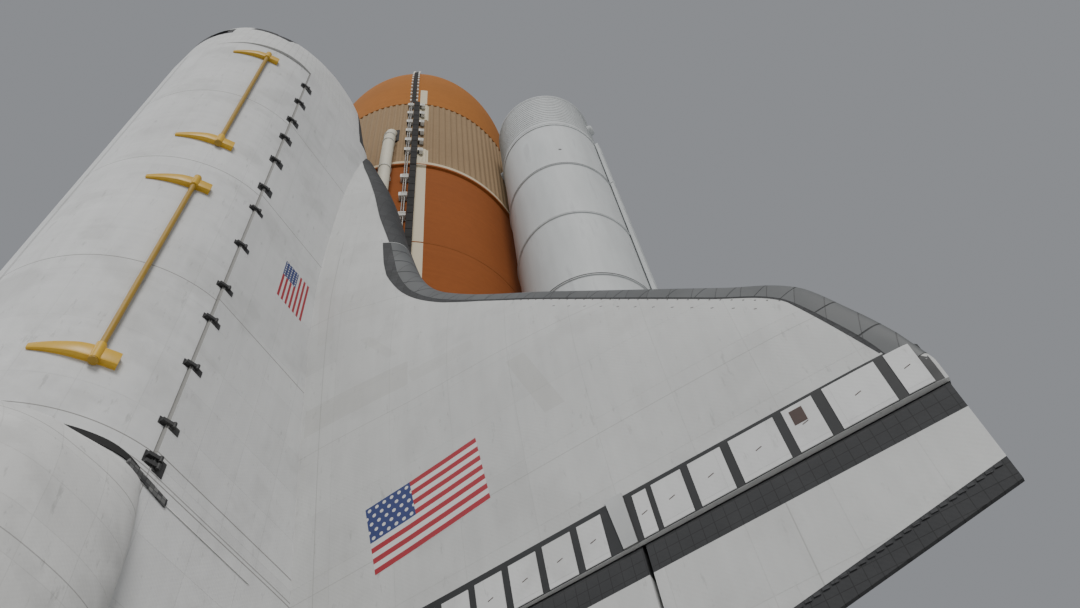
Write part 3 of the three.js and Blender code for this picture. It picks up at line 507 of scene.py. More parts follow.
# Sprayed foam, with pale patches given as x from and to, and degrees from and to
def foamSkin(name, color, dark, stripes=()):
    sh = Shader(name)
    angle = (sh.z - tank["z"]).atan(sh.y) * (180 / math.pi)
    large = sh.noise(0.35, 5)
    fine = sh.noise(9.0, 6)
    rings = sh.noise(1.0, 3, sh.vector(sh.x * 0.14, angle * 0.004))
    tone = large * 0.34 + fine * 0.16 + rings * 0.16 + 0.66
    shaded = sh.mix(large.over(0.5, 2.4, 0.55), sh.shade(color, tone), dark)
    for x0, x1, deg0, deg1 in stripes:
        patch = sh.x.between(x0, x1) * angle.between(deg0, deg1)
        shaded = sh.mix(patch * 0.92, shaded, finishes["cream"])
    relief = fine * 0.8 + sh.noise(30.0, 4) * 0.4
    return sh.finish(shaded, 0.92, relief, 0.004, extra={"Specular IOR Level": 0.2})


def boosterSkin(name, centreY):
    sh = Shader(name)
    angle = (sh.z - tank["z"]).atan(sh.y - centreY)
    large = sh.noise(0.6, 5)
    fine = sh.noise(8.0, 5)
    runs = sh.noise(1.0, 5, sh.vector(angle * 5.0, sh.x * 0.008))
    tone = large * 0.20 + runs * 0.30 + fine * 0.06 + 0.68
    color = sh.shade(finishes["boosterWhite"], tone)
    color = sh.mix(runs.over(0.60, 5, 0.4), color, (0.36, 0.37, 0.38))
    for key, half, share, ringColor in (("darkRings", 1.0, 0.9, (0.05, 0.05, 0.05)),
                                        ("paleRings", 0.5, 0.5, (0.3, 0.3, 0.3))):
        for x in booster[key]:
            color = sh.mix(sh.x.near(x, half) * share, color, ringColor)
    hoops = (sh.x.toLine(9.0) < 0.45) * sh.x.between(booster["frustum"], booster["caseTop"] - 6)
    color = sh.mix(hoops * 0.45, color, (0.30, 0.31, 0.32))
    return sh.finish(color, 0.48 + fine * 0.25, fine * 0.3 - hoops * 0.6, 0.001)


def metalSkin(name, color, roughness=0.35, heat=None):
    sh = Shader(name)
    large = sh.noise(1.6, 5)
    fine = sh.noise(14.0, 5)
    tone = sh.shade(color, large * 0.5 + 0.72)
    if heat:
        tone = sh.mix(large.over(0.42, 4, 0.7), tone, heat)
    return sh.finish(tone, roughness + (fine - 0.5) * 0.3, fine * 0.4, 0.0012, 0.85)


def glassSkin(name):
    sh = Shader(name)
    smear = sh.noise(4.0, 4)
    return sh.finish((0.012, 0.016, 0.02), 0.08 + smear * 0.08, smear, 0.0002)


# The craft's driving sizes, as in its frame
bay = {"start": 582, "end": 1302, "middle": 400, "radius": 90, "sill": 414, "crown": 398, "outer": 104,
       "skin": 6}
hull = {"aftEnd": 1512, "wall": 5, "steps": 96, "fit": 0.0315, "clear": 5.4 / 12.7, "half": 105}
tank = {"z": 63.5, "r": 165.5, "flange": 168.8, "tip": -418.5, "tangent": 14, "ogive": 612, "top": 111.8,
        "bottom": 388.9, "ring": 1317, "dome": 116, "sides": 160}
booster = {"y": 250.5, "r": 73, "frustum": 197, "caseTop": 333.5, "skirt": 1639, "pivot": 1650,
           "exitX": 1719, "sides": 96,
           "darkRings": (333.5, 493.5, 813.5, 1133.5, 1453.5), "paleRings": (653.5, 973.5, 1293.5)}
wing = {"root": 105, "tip": 465.5, "hingeX": 1387, "inner": 119, "dihedral": 0.0612, "belly": 268,
        "trailX": 1525.24, "trailSweep": 0.1773}
tail = {"rootX": 1280.9, "rootZ": 503, "tipX": 1596.6, "tipZ": 818.7, "tipChord": 108.5, "rootChord": 268.5,
        "hingeTipX": 1665, "hingeLean": 34.83, "rootHalf": 14, "tipHalf": 5}

reach = studio["floorReach"]
floorCorners = [(layout["floorX"], y, z) for y, z in ((-reach, -reach), (reach, -reach), (reach, reach),
                                                      (-reach, reach))]
floorPaint = paintSkin("floorPaint", studio["floorColor"], 0.8, 0.05)
meshObject("floor", floorCorners, [(0, 1, 2, 3)], floorPaint)
print("camera, light and floor ready")


# Hull outline. crown and belly are the powers of the rounded outline above and below mid.
hullRows = rowsOf(
    "x w mid top bottom crown belly",
    (236, 1, 340, 341, 339, 2, 2), (238, 8, 340, 348, 331, 2, 2), (244, 17, 340, 358, 321, 2, 2),
    (256, 28, 340, 370, 307, 2, 2.2), (280, 43, 341, 386, 295, 2, 2.5), (320, 57, 344, 407, 288, 2, 2.9),
    (370, 72, 350, 425, 286, 2.1, 3.3), (407, 81, 357, 438, 285, 2.2, 3.7),
    (426, 85, 361, 461, 284.5, 2.3, 4), (446, 89, 366, 480, 284, 2.2, 4.3),
    (475, 93, 378, 495, 283.5, 2.1, 4.8), (500, 96, 388, 500, 283, 2, 5.2),
    (540, 100, 402, 501, 282, 1.95, 6), (582, 104, 413, 502, 281, 1.9, 8),
    (700, 105, 414, 502, 277, 1.9, 14), (1302, 105, 414, 502, 267, 1.9, 14),
    (1512, 105, 414, 502, 267, 1.9, 14))


def hullPoint(row, turn, inset=0.0):
    power = 2 / (row["crown"] if math.sin(turn) >= 0 else row["belly"])
    reach = (row["top"] - row["mid"] if math.sin(turn) >= 0 else row["mid"] - row["bottom"]) - inset
    wide, high = [math.copysign(abs(f(turn)) ** power, f(turn)) for f in (math.cos, math.sin)]
    return (row["x"], (row["w"] - inset) * wide, row["mid"] + reach * high)


def hullBetween(x0, x1, inset=0.0, spacing=12.0):
    stations = sorted({x0, x1, *[row["x"] for row in hullRows if x0 < row["x"] < x1]})
    fuller = []
    for a, b in zip(stations, stations[1:]):
        fuller += spread(a, b, max(1, round((b - a) / spacing)))[:-1]
    return [[hullPoint(interpolate(hullRows, "x", x), t, inset) for t in turns(hull["steps"])]
            for x in [*fuller, x1]]


hullShapes = {"tip": 236, "capEnd": 258, "cabin": (372, 574), "windowDeep": 36, "hatch": (490, 362, 20),
              "hatchSlope": 2.4, "hatchFace": (440, 540), "hatchPane": 5, "airlock": (366, 18)}
windowRows = rowsOf("x y z wide tall yaw lean",
                    (424, 19, 457, 30, 30, 6, 46), (437, 51, 449, 28, 27, 34, 38),
                    (463, 74, 446, 27, 24, 66, 30), (505, 22, 500, 22, 22, 0, 88))


def windowBox(row, deep):
    points, faces = boxPart(-deep / 2, deep / 2, -row["wide"] / 2, row["wide"] / 2, -row["tall"] / 2,
                            row["tall"] / 2)
    lean, yaw = math.radians(row["lean"]), math.radians(row["yaw"])
    turn = Matrix.Rotation(-yaw, 3, "Z") @ Matrix.Rotation(lean, 3, "Y")
    return [tuple(turn @ Vector(p) + Vector((row["x"], row["y"], row["z"]))) for p in points], faces


# The nose and cabin: white tiles over black, with the windows' black surround between sloping lines,
# each given as its slope and its height at x = 0
noseMarks = {
    "tile": 6.0, "girthZ": 380.0, "girthR": 90.0, "lowLine": (0.02, 306.0), "sideX": (404.0, 492.0),
    "sideLow": (0.30, 296.0), "sideHigh": (0.26, 352.0), "topX": (492.0, 520.0), "topZ": 486.0,
    "topHalf": 40.0, "blackTo": 268.0,
}


def noseTiles(name):
    sh = Shader(name)
    size = noseMarks["tile"]
    girth = (sh.z - noseMarks["girthZ"]).atan(sh.y) * noseMarks["girthR"]
    tone = sh.cells(sh.x / size, girth / size, 2.0)
    wear = sh.noise(2.2, 5)
    white = sh.shade(finishes["whiteTile"], tone * 0.06 + wear * 0.2 + 0.80)
    gaps = gridLines(sh.x, girth, size, size, 0.10)
    white = sh.seam(white, gaps, 0.35)
    black = sh.mix(tone * 0.4 + (wear - 0.5).most(0.0), finishes["blackTile"], (0.07, 0.072, 0.076))
    lowLine, sideLow, sideHigh = [sh.x * noseMarks[key][0] + noseMarks[key][1]
                                  for key in ("lowLine", "sideLow", "sideHigh")]
    sideOfWindows = sh.x.between(*noseMarks["sideX"]) * sh.z.between(sideLow, sideHigh)
    onTop = sh.x.between(*noseMarks["topX"]) * (sh.z > noseMarks["topZ"]) * (abs(sh.y) < noseMarks["topHalf"])
    mask = (sh.z < lowLine).most(sideOfWindows).most(onTop).most(sh.x < noseMarks["blackTo"])
    color = sh.mix(mask, white, black)
    return sh.finish(color, 0.70 + wear * 0.2, tone * 0.2 - gaps, 0.0015)


def forwardFuselage():
    white = noseTiles("cabinTiles")
    capEnd = hullShapes["capEnd"]
    nose = hullBetween(hullShapes["tip"], capEnd - hull["fit"], 0, 2)
    cap = skin("noseCapShell", nose, carbonSkin("noseCarbon", 60))
    carry(cap, nodes=["nose_cap"])
    shell = skin("cabinShell", hullBetween(capEnd, bay["start"] - hull["fit"]), white)
    carve(shell, skin("cutter", hullBetween(*hullShapes["cabin"], hull["wall"], 20), white))
    x, z, r = hullShapes["hatch"]
    y = interpolate(hullRows, "x", x)["w"]
    windows = [windowBox(row, hullShapes["windowDeep"]) for row in windowRows]

    def hatchPlug(clear):
        return pinPart(x, 9 - y, -(y + 6), z, r - hullShapes["hatchSlope"] + clear, r + clear, 64)

    high, wide = hullShapes["airlock"]
    airlock = barPart((bay["start"] - 12, 0, high), (bay["start"] + 4, 0, high), wide, wide, 48)
    cut(shell, *windows, *handed("left", windows), hatchPlug(hull["clear"]), airlock)
    carry(shell, nodes=["forward_fuselage"])
    start, end = hullShapes["hatchFace"]
    hatchFace = skin("hatchShell", hullBetween(start, end, 0, 6), white)
    carve(hatchFace, skin("cutter", hullBetween(start - 10, end + 10, hull["wall"], 20), white))
    cut(hatchFace, hatchPlug(0), operation="INTERSECT")
    carry(hatchFace, "crew_hatch")
    pane = pinPart(x, 4 - y, -(y + 0.35), z + 4, hullShapes["hatchPane"], None, 32)
    place("hatchPane", [pane], glassSkin("hatchGlass"), "window_glass", "crew_hatch")


forwardFuselage()
print("nose and cabin done")

# Payload bay sides and doors
doors = {"outer": (9.05, 89.88), "inner": (89.87, 9.7), "steps": 60, "barZ": 410.6, "barR": 1.2,
         "hinges": (634, 690, 749, 800, 861, 926, 971, 1037, 1103, 1148, 1204, 1263, 1293, 1299),
         "blackHinges": 6, "squareTiles": (-6.4, 6.0, -5.4, 7.2), "smallTiles": (-3.6, 2.2, -1.8, 4.0),
         "chamfer": (412.9, 104.2)}


def doorDetail(sh, color):
    girth = (sh.z - bay["crown"]).atan(abs(sh.y)) * (180 / math.pi)
    color = sh.seam(color, girth.near(89.3, 0.35), 0.6)
    # Painted light and shade: lighter and darker bands across the door blanket's folds
    foldShading = sh.noise(1.0, 4, sh.vector(sh.x * 0.10, girth * 0.02))
    return sh.shade(color, foldShading * 0.16 + 0.92)


def bellyTiles(sh, color):
    return sh.mix(sh.z < 281.0, color, (0.035, 0.036, 0.038))


def sideDetail(sh, color):
    return sh.seam(bellyTiles(sh, color), sh.z > 413.2, 0.85)


def payloadBay():
    sidesSkin = blanketSkin("bodyBlanket", "side", seams=panels["doorSeams"], extraDark=sideDetail)
    trough = skin("midBody", hullBetween(bay["start"], bay["end"] - hull["fit"], 0, 40), sidesSkin)
    ends = (bay["start"] - 5, bay["end"] + 5)
    bore = barPart((ends[0], 0, bay["middle"]), (ends[1], 0, bay["middle"]), bay["radius"], None, 96)
    low, lip = doors["chamfer"]
    wedge = prism(((105.4, low), (112, low), (112, 420), (lip - 1.1, 420), (lip, bay["sill"])), *ends)
    cut(trough, bore, boxPart(*ends, -120, 120, bay["sill"], 520), wedge, mirroredPart(wedge))
    carry(trough, nodes=["mid_fuselage"])
    doorSkin = blanketSkin("doorBlanket", "round", 60.0, 34.0, panels["doorSeams"], extraDark=doorDetail)
    section = [*arc(0, bay["crown"], bay["outer"], *doors["outer"], doors["steps"]),
               *arc(0, bay["crown"], bay["outer"] - bay["skin"], *doors["inner"], doors["steps"])]
    sillPlane = bay["sill"] + hull["clear"]
    body = prism(section, *spread(bay["start"] + hull["clear"], bay["end"] - hull["clear"], 24))
    for side, sign in signs.items():
        door = gathered("bayDoor_" + side, handed(side, [body]), doorSkin, 24)
        cut(door, boxPart(500, 1400, *sorted((sign * 80, sign * 120)), 380, sillPlane))
        carry(door, "payload_door_" + side, ["payload_door_" + side])
        hingePieces(side, sign, sillPlane)


# Each hinge: the arm and bar at the sill, with black tiles on the door above it and on the side below it
def hingePieces(side, sign, sillPlane):
    onDoor, onSide, centres = [], [], []
    y, barZ = hull["half"] + doors["barR"] + hull["fit"], doors["barZ"]
    low, lip = doors["chamfer"]
    arm = [(y - 0.9, barZ), (y + 0.9, barZ), (y - 1.2, sillPlane + 3.5), (101, sillPlane + 3.5),
           (101, sillPlane), (y - 0.9, sillPlane)]
    for number, x in enumerate(doors["hinges"]):
        square = number < doors["blackHinges"]
        onDoor.append(barPart((x - 2.2, sign * y, barZ), (x + 2.2, sign * y, barZ), doors["barR"], None, 20))
        onDoor.append(prism([(sign * a, b) for a, b in arm], x - 1.3, x + 1.3))
        doorStart, doorEnd, sideStart, sideEnd = doors["squareTiles" if square else "smallTiles"]
        onDoor.append(doorPlate(sign, x + doorStart, x + doorEnd, sillPlane + 0.1, sillPlane + 4.2, 0.4))
        foot = 405.0 if square else 405.6
        section = [(104.8, foot), (105.35, foot), (105.35, low - 0.2), (lip + 0.35, 413.9),
                   (lip - 0.4, 413.9), (104.8, low - 0.2)]
        onSide.append(prism([(sign * a, b) for a, b in section], x + sideStart, x + sideEnd))
        if square:
            centres.append(doorPlate(sign, x - 1.6, x + 1.6, sillPlane + 1.2, sillPlane + 2.6, 0.5))
    node = "payload_door_" + side
    tileBlack = paintSkin("hingeBlack_" + side, finishes["dark"], 0.6)
    place("hingeTiles_" + side, onDoor, tileBlack, "dark_tray", node)
    place("sillTiles_" + side, onSide, paintSkin("sillBlack_" + side, finishes["dark"], 0.6), "dark_tray")
    metal = metalSkin("hingeMetal_" + side, finishes["steel"])
    place("hingeCentres_" + side, centres, metal, "attach_steel", node)


def doorPlate(sign, x0, x1, low, top, lift):
    rings = []
    for z in (low, (low + top) / 2, top):
        y = math.sqrt(bay["outer"] ** 2 - (z - bay["crown"]) ** 2)
        rings.append([(x, sign * (y + out), z)
                      for x, out in ((x0, -0.5), (x1, -0.5), (x1, lift), (x0, lift))])
    return skinFaces(rings)


payloadBay()
print("payload bay and doors done")

# Door braces: a long round bar on a row of feet, with a curved arm and an eye near each end.
# The arm's section holds shares of its height, and how far its sides are cut back there.
braces = {"angle": 35.5, "seat": 104.12, "r": 2.0, "barR": 107.6, "armStart": 29, "armReach": 25,
          "armHigh": 4.6, "rows": {"forward": (615, 900), "aft": (980, 1245)}, "feet": 5,
          "section": ((0, 1.3), (0.12, 0.35), (0.35, 0), (0.7, 0), (0.9, 0.35), (1, 1.3))}


def braceArmParts(x0, x1, y, z):
    end = braces["armStart"] + braces["armReach"] + 1.2
    rings = []
    for share in spread(0, 1, 22):
        turn = math.radians(end - (end - braces["armStart"]) * share)
        high = braces["armHigh"] * (0.35 + 0.65 * min(1.0, share * 1.9))
        half = (x1 - x0) / 2 * (0.42 + 0.58 * min(1.0, share * 1.6))
        flank = [(half - cutBack * (level > 0), braces["seat"] + high * level)
                 for level, cutBack in braces["section"]]
        rings.append([(x, r * math.cos(turn), bay["crown"] + r * math.sin(turn))
                      for x, r in evenProfile((x0 + x1) / 2, flank)])
    return [skinFaces(rings), barPart((x0 - 1.5, y, z), (x1 + 1.5, y, z), braces["r"] + 1.1, None, 24)]


def doorBraces():
    barSkin = paintSkin("braceBarPaint", finishes["brace"], 0.45, 0.5, (0.30, 0.19, 0.04))
    armSkin = paintSkin("braceArmPaint", finishes["braceArm"], 0.42, 0.4, (0.42, 0.26, 0.05))
    endSkin = paintSkin("braceEnds", finishes["brace"], 0.5, 0.5, (0.12, 0.08, 0.03))
    (y, z), foot = [arc(0, bay["crown"], braces[key], braces["angle"], braces["angle"], 1)[0]
                    for key in ("barR", "seat")]
    for name, (x0, x1) in braces["rows"].items():
        bars = [barPart((x0, y, z), (x1, y, z), braces["r"], None, 28)]
        bars += [barPart((x, *foot), (x, y, z), 1.2, 1.0, 14)
                 for x in spread(x0 + 30, x1 - 30, braces["feet"] - 1)]
        arms = [*braceArmParts(x0 + 2, x0 + 14, y, z), *braceArmParts(x1 - 14, x1 - 2, y, z)]
        ends = [barPart((x, y, z), (x + 1.2, y, z), braces["r"] + 0.9, None, 24)
                for x in (x0 - 0.6, x1 - 0.6)]
        title, door = "brace" + name.capitalize(), "payload_door"
        placePair(title + "Bar", bars, barSkin, "yellow_brace", door, "door_brace_" + name)
        placePair(title + "Arms", arms, armSkin, "yellow_brace", door)
        placePair(title + "Ends", ends, endSkin, "yellow_brace", door)


doorBraces()
print("door braces done")


# Aft body, with its three engine ports, and the flap under them
engines = {
    "places": {"upper": (1445, 0, 443, 16, 0), "right": (1468.17, 53, 342.64, 10, 3.5),
               "left": (1468.17, -53, 342.64, 10, -3.5)},
    "length": 168, "exit": 47, "head": 8, "wall": 2, "port": 54, "throatX": 47, "throatR": 13, "tubes": 180,
    "bands": (0.30, 0.40, 0.50, 0.60, 0.70, 0.80, 0.89, 0.965),
    "powerhead": ((4, 0), (4, 7), (8, 11), (12, 16), (12, 30), (15, 32), (28, 33.5), (31, 33), (40, 27),
                  (44, 24), (47, 13), (47, 0)),
    "pipes": range(0, 360, 40), "pumps": (0.6, 2.6, 3.9, 5.6),
}
flap = {"x": 1532, "z": 282, "chord": 81, "half": 118, "nose": 9.5,
        "shelf": ((1492, 268), (1527, 268), (1527, 297), (1492, 301))}


def heading(up, out):
    up, out = math.radians(up), math.radians(out)
    return Vector((math.cos(up), math.sin(out), math.sin(up))).normalized()


def aftDetail(sh, color):
    rim = sh.x.near(1304.0, 0.5).most(sh.z.near(414.0, 0.35) * (sh.x < 1420.0))
    return sh.seam(bellyTiles(sh, color), rim, 0.7)


def aftBody():
    material = blanketSkin("aftBlanket", "side", 42.0, 34.0, (1307, 1400), extraDark=aftDetail)
    shell = skin("aftShell", hullBetween(bay["end"], hull["aftEnd"], 0, 20), material)
    carve(shell, skin("cutter", hullBetween(bay["end"] + 20, hull["aftEnd"] - 14, 8, 60), material))
    port = turnedPart([(-30, 0), (-30, engines["port"]), (102, engines["port"]), (102, 0)], 72)
    posts = []
    for x, y, z, up, out in engines["places"].values():
        cut(shell, aimedPart(port, (x, y, z), heading(up, out)))
        posts.append(barPart((bay["end"] + 16, y, z), (x - engines["head"] - hull["fit"], y, z), 22, 9, 32))
    carry(shell, nodes=["aft_fuselage"])
    place("thrustPosts", posts, metalSkin("postMetal", finishes["steel"]), "attach_steel")
    shelfPiece = gathered("flapShelf", [slab(flap["shelf"], -104, 104)], tileSkin("shelfTiles", "plan"))
    cut(shelfPiece, pinPart(flap["x"], -130, 130, flap["z"], flap["nose"] + hull["fit"] + 0.05, None, 60))
    carry(shelfPiece)


def bodyFlap():
    back = flap["x"] + flap["chord"]
    outline = [*arc(flap["x"], flap["z"], flap["nose"], 84, 276, 24), (back, flap["z"] - 9.2),
               (back, flap["z"] - 6.4)]
    body = slab(outline, *spread(-flap["half"], flap["half"], 24))
    place("bodyFlapTiles", [body], tileSkin("flapTiles", "plan"), "black_tile", "body_flap", ["body_flap"])


# How far along the bell, as a share of its length, and how wide it is there
def bellPoint(u):
    return (engines["throatX"] + (engines["length"] - engines["throatX"]) * u,
            engines["throatR"] + (engines["exit"] - engines["throatR"]) * (1 - (1 - u) ** 1.9) ** 0.82)


# The bell's outside is ribbed by its tubes
def bellRing(x, r, rib):
    return [(x, (r - rib * (i % 2)) * math.cos(t), (r - rib * (i % 2)) * math.sin(t))
            for i, t in enumerate(turns(engines["tubes"]))]


def engineParts():
    wall = engines["wall"]
    rows = [bellPoint(i / 26) for i in range(27)]
    bell = skinFaces([*[bellRing(x, r, wall * 0.4) for x, r in rows],
                      *[bellRing(x, r - wall, 0) for x, r in reversed(rows[1:])]])
    head = turnedPart(engines["powerhead"], 64)
    bands = [turnedPart(bandProfile(x, r - 0.55, 1, -1, 0.7, 0.9), 96)
             for x, r in map(bellPoint, engines["bands"])]

    def around(x, r, t):
        return (x, r * math.cos(t), r * math.sin(t))

    pipes = [barPart(around(14, 29, t), around(46, 20, t + 0.5), 1.5, 1.2, 14)
             for t in map(math.radians, engines["pipes"])]
    pumps = [barPart(around(12, 24, t), around(34, 24, t), 7.0, 6.0, 24) for t in engines["pumps"]]
    return bell, [head, *pumps, *pipes], bands


def mainEngines():
    bell, heads, bands = engineParts()
    bellSkin = metalSkin("bellTubes", (0.36, 0.33, 0.30), 0.38, (0.16, 0.12, 0.10))
    headSkin = metalSkin("powerheadMetal", (0.46, 0.44, 0.40), 0.32, (0.30, 0.24, 0.16))
    for name, (x, y, z, up, out) in engines["places"].items():
        node = "main_engine_" + name
        pin = pinPart(x, y - 7, y + 7, z, engines["head"], None, 40)
        for kind, parts, extra, material, nodes, angle in (
                ("Bell", [bell], [], bellSkin, [node], 50), ("Bands", bands, [], headSkin, [], 50),
                ("Powerhead", heads, [pin], headSkin, [], 32)):
            turned = [aimedPart(part, (x, y, z), heading(up, out)) for part in parts]
            title = "engine%s_%s" % (kind, name)
            place(title, [*turned, *extra], material, "engine_metal", node, nodes, angle)


aftBody()
bodyFlap()
mainEngines()
print("aft body and main engines done")

# Orbital manoeuvring pods
pods = {
    "front": 1311, "full": 1400, "ring": 72, "joins": ((1345.0, 0.4), (1420.0, 0.35), (1500.0, 0.35)),
    "tilePatch": ((1308.5, 427), (1313.5, 427), (1318, 398), (1312.5, 398)),
    "stations": (0, 0.004, 0.012, 0.03, 0.06, 0.1, 0.15, 0.22, 0.3, 0.4, 0.55, 0.75, 1, 1.3, 1.7, 2.1, 2.4583,
                 2.55, 2.6146),
    "engine": {"x": 1518, "y": 88, "z": 492, "length": 70, "exit": 22, "head": 5, "up": 15.8, "out": 6.5,
               "neck": ((0, 0), (0, 4), (5, 9), (18, 10), (24, 6), (28, 6.4)),
               "bell": ((34, 10), (38, 12.2), (48, 17), (58, 20)), "rims": ((48, 17), (59, 20.1), (69, 21.4)),
               "hollow": ((-16, 0), (-16, 24), (70, 32), (70, 0))},
    "jets": {"box": (1528, 1562, 112, 133, 446, 478), "x": (1536, 1547), "z": (451, 460, 469),
             "rims": ((132.4, 133.2, 2.6, 2.8), (133.2, 133.4, 2.0, 2.0))},
    "cuts": ((1505, 1600, -5, 66, 380, 560), (1290, 1600, 0, 17, 480, 560), (1445, 1506, -5, 66, 380, 480)),
}
podRows = rowsOf("x y z w h low round",
                 (1304, 81, 467, 46, 50, 409, 0.36), (1400, 81, 467, 46, 50, 409, 0.36),
                 (1445, 82, 468, 49, 52.5, 410, 0.4), (1495, 83, 469.5, 50, 54.5, 419.5, 0.86),
                 (1540, 84, 470, 50, 55, 419.5, 0.86), (1555, 84, 470, 48, 53, 419.5, 0.86))


def bodyRow(x):
    return {**interpolate(hullRows, "x", x), "x": x}


# The pod's front edge lies along the body's upper side, and the pod swells from it
def podRing(share):
    x = pods["front"] + (pods["full"] - pods["front"]) * share
    row = interpolate(podRows, "x", max(x, pods["full"]))
    swell = (1 - (1 - min(share, 1.0)) ** 2) ** 0.5
    ring = []
    for i in range(pods["ring"]):
        t = 2 * math.pi * i / pods["ring"] - math.pi / 2
        powers = (0.86, 0.86) if math.sin(t) > 0 else (row["round"], 0.8)
        wide, high = [math.copysign(abs(f(t)) ** power, f(t))
                      for f, power in zip((math.cos, math.sin), powers)]
        depth = row["h"] if high > 0 else row["z"] - row["low"]
        full = Vector((x, row["y"] + row["w"] * wide, row["z"] + depth * high))
        half = pods["ring"] / 2
        outer = i <= half
        turn = 76 * (i / half if outer else (2 * half - i) / half)
        back = 6 * max(0.0, (18 - turn) / 18) ** 1.5 + 10 * max(0.0, (turn - 38) / 38) ** 1.3
        onBody = hullPoint(bodyRow(x + back * (1 - swell)), math.radians(turn - 1), -0.5 if outer else 14)
        ring.append(tuple(Vector(onBody).lerp(full, swell)))
    return ring


# The dark strip ahead of the pod is the gap there and the painted shadow under the pod's front edge; it is
# widest low on the shoulder
def podGapShadow():
    rings = []
    for i in range(25):
        turn = math.radians(4 + 46 * i / 24)
        start = bay["end"] + 0.5 + 5.5 * max(0.0, 1 - i / 8) ** 2
        end = start + 0.7 + 4.8 * math.sin(math.pi * (i / 24) ** 0.66)
        rings.append([hullPoint(bodyRow(x), turn, inset)
                      for x, inset in ((start, 0.5), (end, 0.5), (end, -0.7), (start, -0.7))])
    return skinFaces(rings)


def podDetail(sh, color):
    return sh.seam(color, sh.x.nearAny(pods["joins"]), 0.6)


# The pod's own engine: bell, pin and rims, the post behind it and the hollow round it
def podEngineParts():
    engine = pods["engine"]
    pivot = (engine["x"], engine["y"], engine["z"])
    aim = heading(engine["up"], engine["out"])
    recess = turnedPart(engine["hollow"], 48)
    post = barPart((1495, *pivot[1:]), (engine["x"] - engine["head"] - hull["fit"], *pivot[1:]), 7, 5, 24)
    thin = [*engine["bell"], (engine["length"], engine["exit"])]
    outer = [*engine["neck"], *thin]
    bell = turnedPart([*outer, *[(x, r - 1.6) for x, r in reversed(thin)], (26, 0)], 72)
    rims = [turnedPart(bandProfile(x, r, 0.8, -1, 0.5, 0.7), 72) for x, r in engine["rims"]]
    pin = pinPart(pivot[0], pivot[1] - 5, pivot[1] + 5, pivot[2], engine["head"], None, 32)
    bell, recess, *rims = [aimedPart(part, pivot, aim) for part in (bell, recess, *rims)]
    return [bell, pin, *rims], post, recess


def orbitPods():
    material = blanketSkin("podBlanket", "side", 26.0, 26.0, extraDark=podDetail, base="podWarm")
    body = skinFaces([podRing(share) for share in pods["stations"]])
    bell, post, recess = podEngineParts()
    for side in signs:
        shell = gathered("podShell_" + side, handed(side, [body]), material)
        cut(shell, *handed(side, [recess, *[boxPart(*box) for box in pods["cuts"]]]))
        carry(shell, nodes=["pod_" + side])
        place("podPost_" + side, handed(side, [post]), metalSkin("podPostMetal_" + side, finishes["steel"]),
              "attach_steel")
    jets = pods["jets"]
    rims = [pinPart(x, y0, y1, z, r0, r1, 28)
            for y0, y1, r0, r1 in jets["rims"] for x in jets["x"] for z in jets["z"]]
    placePair("podJets", [boxPart(*jets["box"]), *rims], tileSkin("jetTiles", "side"), "black_tile")
    placePair("podFrontTiles", [slab(pods["tilePatch"], 103.5, 105.9)],
              tileSkin("podEdgeTiles", "side", 3.0, (0.42, 0.42, 0.41)), "black_tile")
    # Painted shadow: the dark strip ahead of the pod stands for the gap and the shade under the pod's front
    # edge
    gapShadowPaint = paintSkin("podJointDark", finishes["dark"], 0.8, gloss=0.2)
    placePair("podFrontGapShadow", [podGapShadow()], gapShadowPaint, "black_tile")
    orbitBell = metalSkin("orbitBellMetal", (0.22, 0.20, 0.19), 0.4, (0.34, 0.30, 0.26))
    placePair("podBell", bell, orbitBell, "engine_metal", "pod_engine", "pod_engine")


orbitPods()
print("pods done")

# Vertical tail with its split rudder
fin = {"low": 496, "rudderBottom": 566, "rudderTop": 808, "drive": 2.2, "seats": (575, 660, 735, 800),
       "capZ": 813.5, "foot": (1480, 494), "footBack": (1545, 563), "footHalf": 9.5, "capHalf": 4.4,
       "section": ((0, 0), (0.004, 0.14), (0.012, 0.24), (0.03, 0.37), (0.06, 0.5), (0.12, 0.66), (0.2, 0.8),
                   (0.32, 0.93), (0.45, 1), (0.6, 1.0), (0.75, 0.96), (1, 0.82))}


def finHinge(z):
    return tail["hingeTipX"] + (z - tail["tipZ"]) * math.tan(math.radians(tail["hingeLean"]))


def finLead(z):
    return max(tail["rootX"] + (z - tail["rootZ"]), bay["end"] + 6)


def finBack(z):
    tipBack, rootBack = tail["tipX"] + tail["tipChord"], tail["rootX"] + tail["rootChord"]
    return rootBack + (z - tail["rootZ"]) * (tipBack - rootBack) / (tail["tipZ"] - tail["rootZ"])


def finHalf(z):
    share = (z - tail["rootZ"]) / (tail["tipZ"] - tail["rootZ"])
    return tail["rootHalf"] - (tail["rootHalf"] - tail["tipHalf"]) * share


def finDetail(sh, color):
    lead = sh.x - sh.z - (tail["rootX"] - tail["rootZ"])
    tone = sh.cells(lead / 7.0, sh.z / 8.0, 4.0)
    edge = sh.mix(tone * 0.4, (0.03, 0.03, 0.032), (0.09, 0.09, 0.095))
    color = sh.mix(lead < 15.0, color, edge)
    tip = sh.z > 796.0
    return sh.mix(tip * 0.95, color, (0.05, 0.05, 0.052))


